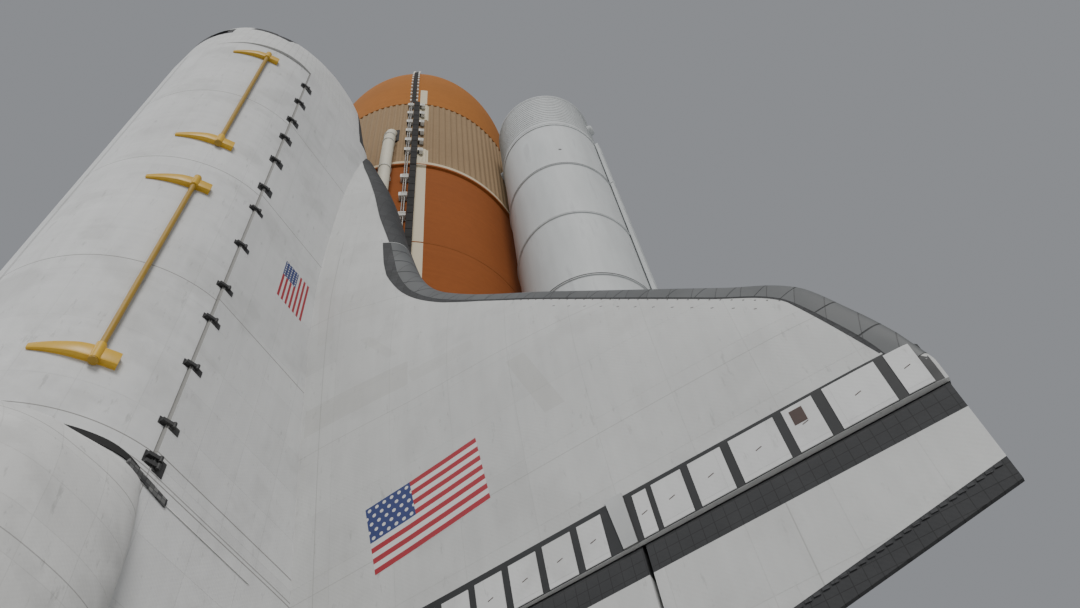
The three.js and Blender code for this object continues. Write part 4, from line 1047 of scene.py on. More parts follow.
def verticalTail():
    material = blanketSkin("tailBlanket", "side", 28.0, 28.0, extraDark=finDetail)
    rings = []
    for z in spread(fin["low"], tail["tipZ"], 30):
        front, back, half = finLead(z), finHinge(z) - finHalf(z) * 0.95, finHalf(z)
        upper = [(front + u * (back - front), t * half, z) for u, t in fin["section"]]
        rings.append(upper + [(x, -y, z) for x, y, z in reversed(upper[1:])])
    plates = []
    for z in fin["seats"]:
        low, top = z - 5, z + 5
        back = 1.2 * fin["drive"] + 0.8
        plates.append(slab([(finHinge(low) - 12, low), (finHinge(low) - back, low),
                            (finHinge(top) - back, top), (finHinge(top) - 12, top)], -1.4, 1.4))
    place("finShell", [skinFaces(rings), *plates], material, nodes=["vertical_tail"])
    low, top = fin["foot"][1], fin["footBack"][1]
    foot = [(finHinge(low) - 13.5, low), fin["foot"], fin["footBack"], (finHinge(top) - 11.7, top)]
    cap = [(finHinge(fin["capZ"]) - 4.8, fin["capZ"]), (finBack(fin["capZ"]), fin["capZ"]),
           (tail["tipX"] + tail["tipChord"], tail["tipZ"]), (finHinge(tail["tipZ"]) - 4.7, tail["tipZ"])]
    for name, outline, half, surface in (("tail_foot", foot, fin["footHalf"], material),
                                         ("tail_tip", cap, fin["capHalf"], tileSkin("tipCapTiles", "side"))):
        shape = slab(outline, -half, -half * 0.5, 0, half * 0.5, half)
        place(name + "Shell", [shape], surface, nodes=[name])
    for side, sign in signs.items():
        rings = []
        for z in spread(fin["rudderBottom"] + 1, fin["rudderTop"] - 1, 24):
            front = finHinge(z) + (fin["drive"] + hull["fit"]) / math.cos(math.radians(tail["hingeLean"]))
            back, half = finBack(z), finHalf(z) * 0.78
            section = [(front, 0.25), (back, 0.25), (back, 0.25 + half * 0.62), (front + half, half),
                       (front + 0.3 * half, 0.8 * half), (front, 2.2)]
            rings.append([(x, sign * y, z) for x, y in section])
        node = "rudder_panel_" + side
        panelSkin = blanketSkin("rudderBlanket_" + side, "side", 24.0, 24.0)
        place("rudderShell_" + side, [skinFaces(rings)], panelSkin, body=node, nodes=[node])
    coat("rudder_drive", metalSkin("rudderDriveMetal", finishes["steel"]))


verticalTail()
print("tail done")


# Wings. Each row holds a place along the span, the leading edge, the crest and the height at the aft edge.
wingRows = rowsOf(
    "y lead leadZ crest crestZ aftZ",
    (101, 590, 291, 970, 333.6, 286), (127, 694, 293.5, 1015, 329, 287.2), (143, 769, 295, 1055, 324.5, 288),
    (158, 860, 296, 1092, 320.5, 289), (186, 990, 297, 1131, 316, 290), (213, 1047, 298, 1165, 313.5, 291),
    (300, 1136, 299.5, 1222, 311.5, 295), (400, 1236, 301, 1290, 308, 299.5),
    (434, 1271, 301.5, 1318, 306.5, 301), (451, 1314, 301.5, 1340, 305, 301.5),
    (460, 1342, 301, 1358, 304, 301.5), (465.5, 1366, 300, 1374, 302.5, 301))
wingShape = {"chordSteps": 30, "aftStop": 1383.2, "nose": 60, "ribs": (130, 296, 330, 452),
             "crease": (121.0, 900.0), "spars": ((1040.0, 0.3), (1191.0, 0.3), (1307.0, 0.3)),
             "rakedSeam": (852.0, 190.0), "bellyTile": 6.0}


# A curve from b to c with a slope at each end, t of the way along
def bend(b, c, slopeB, slopeC, t):
    return ((2 * t ** 3 - 3 * t ** 2 + 1) * b + (t ** 3 - 2 * t ** 2 + t) * slopeB
            + (3 * t ** 2 - 2 * t ** 3) * c + (t ** 3 - t ** 2) * slopeC)


# The leading edge bends smoothly between its rows
def wingRow(y):
    row = interpolate(wingRows, "y", y)
    i = next((k for k in range(len(wingRows) - 1) if y <= wingRows[k + 1]["y"]), len(wingRows) - 2)
    if 0 < i < len(wingRows) - 2:
        a, b, c, d = wingRows[i - 1:i + 3]
        run = c["y"] - b["y"]
        slopeB = (c["lead"] - a["lead"]) / (c["y"] - a["y"])
        slopeC = (d["lead"] - b["lead"]) / (d["y"] - b["y"])
        row["lead"] = bend(b["lead"], c["lead"], run * slopeB, run * slopeC, (y - b["y"]) / run)
    return row


def wingLow(y):
    return wing["belly"] + (y - wing["root"]) * wing["dihedral"]


def wingTop(x, y):
    row = wingRow(y)
    if x < row["crest"]:
        u = max(0.0, (x - row["lead"]) / (row["crest"] - row["lead"]))
        return row["leadZ"] + (row["crestZ"] - row["leadZ"]) * math.sqrt(max(0.0, 1 - (1 - u) ** 2))
    v = min(1.0, (x - row["crest"]) / (wing["hingeX"] - row["crest"]))
    return row["crestZ"] - (row["crestZ"] - row["aftZ"]) * v ** 1.4


# The height of the wing's rounded underside near its leading edge
def noseLow(row, u, low):
    return row["leadZ"] - (row["leadZ"] - low) * math.sqrt(1 - (1 - u) ** 2)


def noseLength(row):
    return min(wingShape["nose"], 0.5 * (wing["hingeX"] - row["lead"]))


def wingRing(y):
    row = wingRow(y)
    low, steps = wingLow(y), wingShape["chordSteps"]
    front = [row["lead"] + (1 - math.cos(math.pi / 2 * i / steps)) * (row["crest"] - row["lead"])
             for i in range(steps)]
    top = [(x, y, wingTop(x, y)) for x in (*front, *spread(row["crest"], wingShape["aftStop"], 12))]
    shares = [1 - math.cos(math.pi / 2 * i / 12) for i in range(12, 0, -1)]
    under = [(row["lead"] + u * noseLength(row), y, noseLow(row, u, low)) for u in shares]
    return [*top, (wingShape["aftStop"], y, low), *under]


def wingDetail(sh, color):
    span = abs(sh.y)
    (creaseY, creaseFrom), (rake, rakeFrom) = wingShape["crease"], wingShape["rakedSeam"]
    crease = span.near(creaseY, 0.35) * (sh.x > creaseFrom)
    color = sh.seam(color, crease.most(sh.x.nearAny(wingShape["spars"])), 0.35)
    color = sh.seam(color, (sh.x - span).near(rake, 0.35) * (span > rakeFrom), 0.4)
    cells = sh.cells(sh.x / wingShape["bellyTile"], sh.y / wingShape["bellyTile"], 8.0)
    belly = sh.mix(cells * 0.4, finishes["blackTile"], (0.055, 0.057, 0.06))
    return sh.mix(sh.facingDown() > 0.1, color, belly)


# Repairs on the upper skin: x from and to, y from and to at x = from, slant, and how much darker
wingRepairs = [
    (1145, 1172, 108, 190, 0.0, 0.34), (1158, 1172, 190, 238, 0.25, 0.22), (1206, 1270, 262, 275, 0.30, 0.36),
    (880, 1074, 104, 118, 0.05, 0.16), (1090, 1130, 150, 158, 0.6, 0.20), (1180, 1240, 330, 345, 0.0, 0.13),
    (1010, 1060, 122, 150, 0.3, 0.14), (1290, 1345, 118, 150, 0.0, 0.12),
]


def wings():
    material = blanketSkin("wingFelt", "plan", 48.0, 44.0, repairs=wingRepairs, extraDark=wingDetail,
                           base="wingFelt")
    spans = sorted({*[row["y"] for row in wingRows], *[101 + 6.0 * i for i in range(61)],
                    *[152 + 2.0 * i for i in range(40)]})
    body = skinFaces([wingRing(y) for y in spans])
    hingeX = wing["hingeX"]
    ribs = [boxPart(hingeX - 15, hingeX - 6.5, y - 3, y + 3, elevonHinge(y) - 3, elevonHinge(y) + 3)
            for y in wingShape["ribs"]]
    y0, y1 = wing["inner"] - 20, 480
    for side, sign in signs.items():
        def cove(room):
            return barPart((hingeX, sign * y0, elevonHinge(y0)), (hingeX, sign * y1, elevonHinge(y1)),
                           noseRadius(y0) + room, noseRadius(y1) + room, 96)

        shell = gathered("wingShell_" + side, handed(side, [body]), material, 40)
        cut(shell, cove(hull["clear"]))
        carry(shell, nodes=["wing_" + side])
        seatPaint = paintSkin("seatPaint_" + side, (0.35, 0.36, 0.36))
        seats = gathered("elevonSeats_" + side, handed(side, ribs), seatPaint)
        cut(seats, cove(0.05))
        carry(seats)


def aftHeight(y):
    return interpolate(wingRows, "y", y)["aftZ"]


def elevonHinge(y):
    tip, inner = [(aftHeight(place) + wingLow(place)) / 2 for place in (wing["tip"], wing["inner"])]
    return tip - (wing["tip"] - y) * (tip - inner) / (wing["tip"] - wing["inner"])


def noseRadius(y):
    return 9 - 4 * (y - wing["inner"]) / (wing["tip"] - wing["inner"])


# The leading edge: one carbon shell for each panel, lapped over the wing's nose, with thin gaps
edges = {
    "stops": (168.5, 173, 178.5, 185, 192.5, 202, 214, 228, 242, 257, 272, 287, 302, 317, 332, 347, 362,
              377, 392, 407, 421, 434, 446, 457, 465.2),
    "gap": 0.18, "lift": 0.35, "glove": (102, 168.2), "strip": (168.5, 465),
}
edgeReach = rowsOf("y carbon tiles",
                   (101, 5, 5), (119, 8.5, 8.5), (139, 9.8, 9.8), (168.4, 9.2, 9.2), (168.5, 8, 14),
                   (178, 10.5, 19), (185, 13, 21.5), (198, 15, 21.5), (210, 14.5, 20), (238, 13.2, 16),
                   (254, 12.8, 14.2), (434, 13, 14), (466, 13, 13.4))


# The section runs square to the leading edge
def edgeSection(y, back, lift):
    slope = (wingRow(min(465.4, y + 1.0))["lead"] - wingRow(max(101.1, y - 1.0))["lead"]) / 2
    across = math.hypot(1, slope)
    top, under = [], []
    for i in range(17):
        reach = back * (i / 16) ** 2
        shift = y - reach * slope / across
        row = wingRow(shift)
        x = max(wingRow(y)["lead"] + reach / across, row["lead"])
        grow, ahead = lift * min(1, i / 4), lift * (1 - i / 16)
        u = min(1.0, (x - row["lead"]) / noseLength(row))
        top.append((x - ahead, shift, wingTop(x, shift) + grow))
        under.append((x - ahead, shift, noseLow(row, u, wingLow(shift)) - grow))
    return [*reversed(top), *under[1:]]


def edgeShell(y0, y1, key, lift, steps):
    places = spread(y0, y1, steps)
    return skinFaces([edgeSection(y, interpolate(edgeReach, "y", y)[key], lift) for y in places])


def leadingEdge():
    gap, lift, stops = edges["gap"], edges["lift"], edges["stops"]
    shells = [edgeShell(y0 + gap, y1 - gap, "carbon", lift, 5) for y0, y1 in zip(stops, stops[1:])]
    carbon = carbonSkin("edgeCarbon", 15.0)
    placePair("edgePanels", shells, carbon, "carbon_edge", node="wing_leading_edge", smoothAngle=40)
    dark = [edgeShell(*edges["glove"], "tiles", lift, 16),
            edgeShell(*edges["strip"], "tiles", lift * 0.6, 90)]
    tiles = tileSkin("gloveTiles", "plan", light=(0.065, 0.067, 0.07))
    placePair("gloveEdge", dark, tiles, "black_tile", smoothAngle=40)


# A thin patch that lies on the upper skin, between four corners in plan
def topPatch(corners, lift, thick, across, along):
    levels = []
    for height in (lift, lift - thick):
        grid = []
        for s in spread(0, 1, along):
            for t in spread(0, 1, across):
                x, y = [(a * (1 - t) + b * t) * (1 - s) + (d * (1 - t) + c * t) * s
                        for a, b, c, d in zip(*corners)]
                grid.append((x, y, wingTop(x, y) + height))
        levels.append(grid)
    count, wide = (along + 1) * (across + 1), across + 1
    faces = []
    for i in range(along):
        for j in range(across):
            k = i * wide + j
            faces.append((k, k + 1, k + 1 + wide, k + wide))
            faces.append(tuple(count + n for n in (k, k + wide, k + 1 + wide, k + 1)))
    rim = [*range(across), *[i * wide + across for i in range(along)],
           *[along * wide + j for j in range(across, 0, -1)], *[i * wide for i in range(along, 0, -1)]]
    for p, q in zip(rim, [*rim[1:], rim[0]]):
        faces.append((p, count + p, count + q, q))
    return [*levels[0], *levels[1]], faces


def platePatch(x0, x1, y0, y1, lift, thick, across, along):
    return topPatch(((x0, y0), (x0, y1), (x1, y1), (x1, y0)), lift, thick, across, along)


# The row of doors over the elevon hinge: spans in y, with the grey fitting between the elevons
hingeDoors = {
    "front": 1357.0, "back": 1382.6, "lift": 0.55, "band": (1353.5, 1383, 119, 464),
    "spans": [(124, 140.5), (144.5, 160.5), (164.5, 180.5), (184.5, 200), (204, 220), (224, 240), (244, 260),
              (264, 280), (284, 297.5), (315.5, 323), (326, 342), (346, 363.5), (368, 391.5), (396, 411.5),
              (417, 443), (448, 460)],
    "fitting": ((1352, 301.5), (1352, 311), (1383, 312), (1383, 304.5)),
    "squarePatch": (1358.5, 1367.5, 399, 405.5), "mark": ((13, -1.6), (12.2, 1.6), (12.7, 1.6), (13.5, -1.6)),
    "tipStrip": ((1279, 423.4), (1282, 425), (1352, 457.5), (1352, 447.5)),
}


def upperDetails():
    white = blanketSkin("hingeDoorPaint", "plan", 60.0, 60.0)
    black = paintSkin("hingeBlackPaint", (0.018, 0.019, 0.02), 0.6, 0.2, (0.07, 0.07, 0.07))
    lift = hingeDoors["lift"]
    shown, marks = [], []
    for y0, y1 in hingeDoors["spans"]:
        x, middle = hingeDoors["front"] - 0.012 * (y0 - 290), (y0 + y1) / 2
        shown.append(platePatch(x, hingeDoors["back"], y0, y1, lift, 0.5, 6, 6))
        corners = [(x + step, middle + out) for step, out in hingeDoors["mark"]]
        marks.append(topPatch(corners, lift + 0.06, 0.1, 1, 1))
    marks.append(platePatch(*hingeDoors["squarePatch"], lift + 0.1, 0.2, 2, 2))
    rivets = []
    for first, pitch, count, offsets in (
            (196, 5.4, 46, ((855.5, -0.7), (856.4, 0), (857.1, -0.6), (856.2, -1.4))),
            (300, 10, 12, ((866, -1.6), (866.6, 0), (867.4, 0), (866.8, -1.6)))):
        for y in [first + i * pitch for i in range(count)]:
            rivets.append(topPatch([(y + x, y + out) for x, out in offsets], 0.08, 0.1, 1, 1))
    placePair("hingeBand", [platePatch(*hingeDoors["band"], 0.12, 0.3, 80, 6)], black, "black_tile")
    placePair("hingeDoors", shown, white)
    placePair("hingeDoorMarks", marks, paintSkin("brownPatch", (0.06, 0.035, 0.028), 0.7), "black_tile")
    placePair("elevonFitting", [topPatch(hingeDoors["fitting"], 1.0, 1.2, 4, 8)],
              metalSkin("fittingMetal", (0.52, 0.52, 0.50), 0.4), "attach_steel")
    placePair("tipTileStrip", [topPatch(hingeDoors["tipStrip"], 0.16, 0.3, 30, 8)],
              tileSkin("tipTiles", "plan", 5.0), "black_tile")
    placePair("edgeMarks", rivets, paintSkin("markPaint", (0.17, 0.165, 0.16), 0.7), "dark_tray")


# Elevons: felt above, black tiles below and along the trailing edge, with a black rub strip at the hinge
elevonShape = {"spans": {"inner": (119, 312.5), "outer": (314.5, 464.5)}, "rubEnd": 1401.0, "studPitch": 4.2}


def trailX(y):
    return wing["trailX"] - wing["trailSweep"] * y


def elevonDetail(sh, color):
    span = abs(sh.y)
    rub = sh.x < elevonShape["rubEnd"]
    edge = (span * -wing["trailSweep"] + wing["trailX"] - sh.x) < 12.0
    lines = gridLines(sh.x, sh.y, 6.0, 6.0, 0.2)
    dark = sh.mix(lines * 0.6, (0.032, 0.033, 0.035), (0.008, 0.008, 0.008))
    color = sh.seam(color, span.near(380.0, 0.3).most(span.near(220.0, 0.3)), 0.4)
    return sh.mix(rub.most(edge).most(sh.facingDown() > 0.2), color, dark)


def elevonRing(y):
    z, back = elevonHinge(y), trailX(y)
    nose = arc(wing["hingeX"], z, noseRadius(y), 88, 272, 26)

    def run(start, end):
        return [(start[0] + (end[0] - start[0]) * k / 10, start[1] + (end[1] - start[1]) * k / 10)
                for k in range(1, 10)]

    low, high = (back, z - 2.6), (back, z - 0.6)
    return [(x, y, h) for x, h in (*nose, *run(nose[-1], low), low, high, *run(high, nose[0]))]


def elevons():
    for name, (y0, y1) in elevonShape["spans"].items():
        body = skinFaces([elevonRing(y) for y in spread(y0, y1, 16)])
        studs = []
        for i in range(int((y1 - y0) / elevonShape["studPitch"])):
            y = y0 + 2.5 + elevonShape["studPitch"] * i
            x, z = trailX(y), elevonHinge(y)
            studs.append(boxPart(x - 11.4, x - 9.8, y - 1.5, y + 1.5, z - 0.5, z + 0.75))
        for side in signs:
            ending = "%s_%s" % (name, side)
            felt = blanketSkin("elevonFelt_" + ending, "plan", 40.0, 40.0, extraDark=elevonDetail,
                               base="wingFelt")
            node, tiles = "elevon_" + ending, tileSkin("edgeTile_" + ending)
            place("elevonShell_" + ending, handed(side, [body]), felt, body=node, nodes=[node])
            place("elevonEdgeTiles_" + ending, handed(side, studs), tiles, "black_tile", node)


wings()
leadingEdge()
upperDetails()
elevons()
print("wings done")


# External tank: ogive, ribbed intertank, long hydrogen tank and dome
tankShape = {
    "ribs": 108, "ribLow": 166.3, "ribHigh": 168.0, "welds": (641, 868, 1111), "shoulder": (-396, 9),
    "ogiveFrom": -388,
    "oxygenPatches": [(28, 110, 50, 54)], "intertankPatches": [(118, 192, 49, 55.5), (326, 390, 48.5, 55)],
    "hydrogenPatches": [(392, 1320, 49.3, 54)],
}


def tankTurned(profile):
    return turnedPart(profile, tank["sides"], 0.0, tank["z"])


def ogiveRadius(x):
    return math.sqrt(tank["ogive"] ** 2 - (tank["tangent"] - x) ** 2) - (tank["ogive"] - tank["r"])


def externalTank():
    r, flange, fit = tank["r"], tank["flange"], hull["fit"]
    top, bottom = tank["top"], tank["bottom"]
    ogive = [(x, ogiveRadius(x)) for x in spread(tankShape["ogiveFrom"], tank["tangent"], 40)]
    nose = tankTurned([(tank["tip"], 0), (tank["tip"] + 3, 3), tankShape["shoulder"], *ogive, (60, r),
                       (top - 3, r), (top - 3, r + 2.5), (top - fit, r + 2.5), (top - fit, 0)])
    foam = foamSkin("oxygenFoam", finishes["foam"], (0.27, 0.11, 0.03), tankShape["oxygenPatches"])
    place("oxygenTankFoam", [nose], foam, "orange_foam", nodes=["oxygen_tank"])
    rings = []
    for x in (top, top + 6, 250.0, bottom - 8):
        heights = [tankShape["ribHigh"] if i % 4 in (0, 1) else tankShape["ribLow"]
                   for i in range(tankShape["ribs"] * 4)]
        rings.append([(x, high * math.cos(t), tank["z"] + high * math.sin(t))
                      for high, t in zip(heights, turns(len(heights)))])
    pale = foamSkin("intertankFoam", finishes["foamPale"], (0.30, 0.19, 0.105), tankShape["intertankPatches"])
    place("intertankRibs", [skinFaces(rings)], pale, "pale_foam", nodes=["intertank"], smoothAngle=20)
    flangeTop = tankTurned([(bottom - 8, 0), (bottom - 8, flange), (bottom - fit, flange), (bottom - fit, 0)])
    place("intertankFlange", [flangeTop], foamSkin("flangeFoam", (0.62, 0.52, 0.37), (0.48, 0.36, 0.22)),
          "pale_foam")
    dome = [(tank["ring"] + tank["dome"] * math.sin(math.radians(t)), r * math.cos(math.radians(t)))
            for t in range(0, 90, 6)]
    long = tankTurned([(bottom, 0), (bottom, flange), (bottom + 5, flange), (bottom + 7, r), (700, r),
                       (1000, r), *dome, (tank["ring"] + tank["dome"], 0)])
    rust = foamSkin("hydrogenFoam", (0.275, 0.082, 0.02), (0.19, 0.058, 0.017), tankShape["hydrogenPatches"])
    place("hydrogenTankFoam", [long], rust, "orange_foam", nodes=["hydrogen_tank"])
    welds = [tankTurned(bandProfile(x, r, 1.6, -1, 1.2, 0.25)) for x in tankShape["welds"]]
    weldFoam = foamSkin("weldFoam", (0.255, 0.08, 0.02), (0.18, 0.056, 0.017))
    place("hydrogenWelds", welds, weldFoam, "orange_foam")


externalTank()
print("tank done")

# Lines along the tank: the oxygen feedline, the cable tray and their brackets
lines = {
    "feedAngle": 67.5, "feedR": 8.5,
    "feedRun": ((292, 177), (330, 179.5), (420, 182), (800, 182), (1180, 182), (1262, 185)),
    "feedSide": 70.5, "feedFoot": ((1296, 256), (1308, 258), (1321.5, 258)),
    "feedElbow": ((258, 168), (270, 172.5), (284, 175.5), (300, 177.6)),
    "clamps": ((300, 177.5), (330, 179.5), *[(x, 182.0) for x in range(442, 1211, 96)]),
    "feedHole": (244, 292), "trayFrom": 54, "trayTo": 57, "trayTop": 118, "trayEnd": 1168, "ogiveFrom": -380,
    "bracketFirst": 442, "bracketPitch": 64, "bracketCount": 12,
    "upperBrackets": (130, 172, 214, 256, 298, 340),
    "pressure": (120, 385, 395, 700, 1160),
}


def onTank(x, r, deg):
    return Vector((x, r * math.cos(math.radians(deg)), tank["z"] + r * math.sin(math.radians(deg))))


def smoothPath(points, per=10):
    route = []
    padded = [points[0] * 2 - points[1], *points, points[-1] * 2 - points[-2]]
    for a, b, c, d in zip(padded, padded[1:], padded[2:], padded[3:]):
        route += [bend(b, c, (c - a) * 0.2, (d - b) * 0.2, i / per) for i in range(per)]
    return [*route, points[-1]]


def pipePart(route, r, count=32):
    rings = []
    for i, point in enumerate(route):
        along = (route[min(i + 1, len(route) - 1)] - route[max(i - 1, 0)]).normalized()
        u = Vector((0, 0, 1)).cross(along).normalized()
        rings.append(circle(point, u, along.cross(u), r, count))
    return skinFaces(rings)


def tankBlock(x0, x1, r0, r1, deg0, deg1, steps=3):
    section = [*arc(0, tank["z"], r0, deg0, deg1, steps), *arc(0, tank["z"], r1, deg1, deg0, steps)]
    return prism(section, x0, x1)


def feedline():
    angle = lines["feedAngle"]
    path = [onTank(x, r, angle) for x, r in lines["feedRun"]]
    path += [Vector((x, lines["feedSide"], z)) for x, z in lines["feedFoot"]]
    elbow = [onTank(x, r, angle) for x, r in lines["feedElbow"]]
    pipes = [pipePart(smoothPath(route), lines["feedR"] - thinner)
             for route, thinner in ((path, 0.2), (elbow, 0.6))]
    pale = paintSkin("feedlinePaint", (0.66, 0.62, 0.50), 0.6, 0.3, (0.5, 0.38, 0.22))
    place("feedlinePipe", pipes, pale, "attach_steel", nodes=["oxygen_feedline"])
    clamps = []
    for x, r in lines["clamps"]:
        centre = onTank(x, r, angle)
        clamps.append(turnedPart(bandProfile(x, 7.5, 1.6, 0, 1.4, 1.8), 40, centre.y, centre.z))
        clamps += [barPart(onTank(x, tank["r"] - 0.3, deg), onTank(x, r - 5, deg), 2.0, 1.6, 16)
                   for deg in (angle - 1.2, angle + 1.2)]
    place("feedlineClamps", clamps, paintSkin("clampPaint", (0.58, 0.56, 0.50), 0.5), "attach_steel")
    hole = tankBlock(*lines["feedHole"], tank["r"] + 1.2, tank["r"] + 3.4, angle - 3.8, angle + 3.8, 10)
    place("feedlineHole", [hole], paintSkin("holeDark", (0.02, 0.018, 0.016), 0.8), "dark_tray")


def cableTray():
    deg0, deg1, r = lines["trayFrom"], lines["trayTo"], tank["r"]
    tray = [tankBlock(392, lines["trayEnd"], r + 3, r + 7, deg0, deg1),
            tankBlock(lines["trayTop"], 394, tank["flange"] + hull["fit"], 173, deg0, deg1),
            tankBlock(388, 400, r + 4, r + 7.3, deg0, deg1)]
    for x in [lines["trayTop"] + 24.0 * i for i in range(44)]:
        base = 173 if x < 392 else r + 7
        tray.append(tankBlock(x, x + 21.5, base - 0.4, base + 0.35, deg0 + 0.15, deg1 - 0.15))
    dark = paintSkin("trayPaint", (0.02, 0.019, 0.018), 0.7, 0.3, (0.11, 0.095, 0.08), gloss=0.15)
    place("cableTrayRun", tray, dark, "dark_tray", nodes=["tank_cable_tray"])
    ogiveTray(dark)
    bracketWhite = paintSkin("bracketWhite", (0.68, 0.67, 0.62), 0.5, 0.3)
    place("trayBrackets", bracketParts(), bracketWhite, "attach_steel")
    pressure = [pipePart([onTank(x, 171.0 if x > 392 else 171.8, deg) for x in lines["pressure"]], size, 14)
                for deg, size in ((58.3, 1.1), (59.3, 0.8))]
    place("pressureLines", pressure, metalSkin("pressureMetal", finishes["steel"]), "attach_steel")


# The run goes on over the ogive, between two rows of clips
def ogiveTray(dark):
    rings, clips = [], []
    for i, x in enumerate(spread(lines["ogiveFrom"], tank["top"] - 4, 48)):
        r = ogiveRadius(x) if x < tank["tangent"] else tank["r"]
        section = [*arc(0, tank["z"], r - 0.5, 56.4, 58.6, 2), *arc(0, tank["z"], r + 3.6, 58.6, 56.4, 2)]
        rings.append([(x, y, z) for y, z in section])
        if i % 2:
            clips += [tankBlock(x - 3, x + 3, r - 0.5, r + 4.4, deg, deg + 0.9) for deg in (55.3, 58.8)]
    place("ogiveTrayRun", [skinFaces(rings)], dark, "dark_tray")
    place("ogiveTrayClips", clips, paintSkin("clipWhite", (0.66, 0.64, 0.58), 0.5), "attach_steel")


# E-shaped brackets beside the tray: a back with three arms over the pressure lines
def bracketParts():
    r, flange = tank["r"], tank["flange"]
    parts = []
    for x in [lines["bracketFirst"] + lines["bracketPitch"] * i for i in range(lines["bracketCount"])]:
        parts.append(tankBlock(x, x + 11, r + 0.1, r + 8, 60.0, 60.9))
        parts += [tankBlock(x + step, x + step + 2.2, r + 0.12, r + 8, 57.2, 60.2, 4)
                  for step in (0, 4.4, 8.8)]
    for x in lines["upperBrackets"]:
        for deg, end in ((51.2, 53.8), (57.2, 60.2)):
            parts.append(tankBlock(x, x + 10, flange - 0.6, 174.4, end - 0.7, end))
            parts += [tankBlock(x + step, x + step + 2, flange - 0.6, 174.4, deg, end, 4)
                      for step in (0, 4, 8)]
    return parts


feedline()
cableTray()
coat("forward_bipod", paintSkin("bipodPaint", (0.55, 0.40, 0.26), 0.7))
coat("aft_attach_frame", paintSkin("attachPaint", (0.60, 0.58, 0.53), 0.55))
print("tank lines done")

# Boosters: nose, forward skirt, case with joint rings, aft skirt, nozzle, attach ring and tunnel
boosterShape = {
    "joints": [493.5 + 160 * i for i in range(7)], "stiffeners": (1500, 1560, 1612),
    "posts": (35, 145, 215, 325), "noseR": 72.4,
    "noseProfile": ((2, 0), (2.3, 2.6), (4, 6), (6.5, 9.5), (9.5, 12.8), (77, 34.2), (78, 34.8), (195, 72.4)),
    "rings": range(206, 326, 8), "knobs": ((268, 71, 78, 9, 7.5), (268, 78, 79.6, 7.5, 5.5)),
    "skirtOut": ((1650, 75), (1668, 84), (1692, 92.8), (1716, 101)),
    "skirtIn": ((1716, 97.5), (1668, 80.5), (1650, 71.5)),
    "collars": ((1655, 77.5), (1680, 88.5), (1704, 97)),
    "nozzleOut": ((1658, 37), (1674, 37), (1684, 40), (1696, 51.5)), "nozzleIn": ((1684, 31.5), (1658, 28)),
    "caps": range(346, 1600, 40),
}


def boosterTurned(profile):
    return turnedPart(profile, booster["sides"], booster["y"], tank["z"])


# A bar square to the booster's axis, from one distance out to another
def boosterPin(x, out0, out1, r0, r1=None, count=40):
    return pinPart(x, booster["y"] + out0, booster["y"] + out1, tank["z"], r0, r1, count)


def aroundBooster(x, r, turn):
    return (x, booster["y"] + r * math.cos(turn), tank["z"] + r * math.sin(turn))


def boosterPieces():
    r, fit, floorX = booster["r"], hull["fit"], layout["floorX"]
    caseTop, skirtX, pivot, exitX = booster["caseTop"], booster["skirt"], booster["pivot"], booster["exitX"]
    joints = []
    for x in boosterShape["joints"]:
        joints += evenProfile(x, [(2.4, r), (1.8, r + 1.5), (0.5, r + 1.6), (0.3, r + 0.5)])
    case = boosterTurned([(caseTop, 0), (caseTop, r + 1.2), (caseTop + 5, r + 1.2), (caseTop + 5, r), *joints,
                          (skirtX - fit, r), (skirtX - fit, 60), (skirtX + 4, 42), (skirtX + 8, 30),
                          (pivot - 2, 26), (pivot - 2, 0)])
    hoops = [boosterTurned(bandProfile(x, r, 0.9, -0.5, 0.7, 1.9)) for x in boosterShape["stiffeners"]]
    noseEnd = booster["frustum"]
    nose = boosterTurned([*boosterShape["noseProfile"], (noseEnd - fit, boosterShape["noseR"]),
                          (noseEnd - fit, 0)])
    skirtTop = [(noseEnd, 0), (noseEnd, 73.6), (201, 73.6), (201, 73)]
    for x in boosterShape["rings"]:
        skirtTop += bandProfile(x, r, 0.6, 0, 0.5, 0.55)
    skirtTop += [(327.5, 73), (327.5, 74), (caseTop - fit, 74), (caseTop - fit, 0)]
    knobs = [boosterPin(*knob) for knob in boosterShape["knobs"]]
    knobs.append(boosterPin(248, 168.1 - booster["y"], -70, 7, 9))
    hole = barPart(aroundBooster(440, 72.6, 1.047), aroundBooster(440, 73.2, 1.047), 2.2, None, 24)
    skirt = boosterTurned([(skirtX, 70), (skirtX, 74.4), *boosterShape["skirtOut"], (floorX, 104),
                           (floorX, 100.5), *boosterShape["skirtIn"], (skirtX, 70)])
    collars = [boosterTurned(bandProfile(x, q, 0.8, -1.2, 0.6, 0.9)) for x, q in boosterShape["collars"]]
    posts = [barPart(aroundBooster(1690, 92, t), aroundBooster(floorX, 100, t), 6, 9, 24)
             for t in map(math.radians, boosterShape["posts"])]
    nozzle = boosterTurned([*boosterShape["nozzleOut"], (exitX, 66), (exitX, 63), *boosterShape["nozzleIn"]])
    y, z = booster["y"], tank["z"]
    tunnel = boxPart(340, 1634, y + 74.8, y + 79, z - 5, z + 5)
    tunnelCaps = [boxPart(x, x + 36, y + 78.8, y + 79.15, z - 5.15, z + 5.15)
                  for x in boosterShape["caps"]]
    return {"Case": [case, *hoops], "Nose": [nose], "Forward": [boosterTurned(skirtTop), *knobs],
            "Skirt": [skirt, *collars, *posts], "Nozzle": [nozzle], "Tunnel": [tunnel, *tunnelCaps],
            "Port": [hole]}


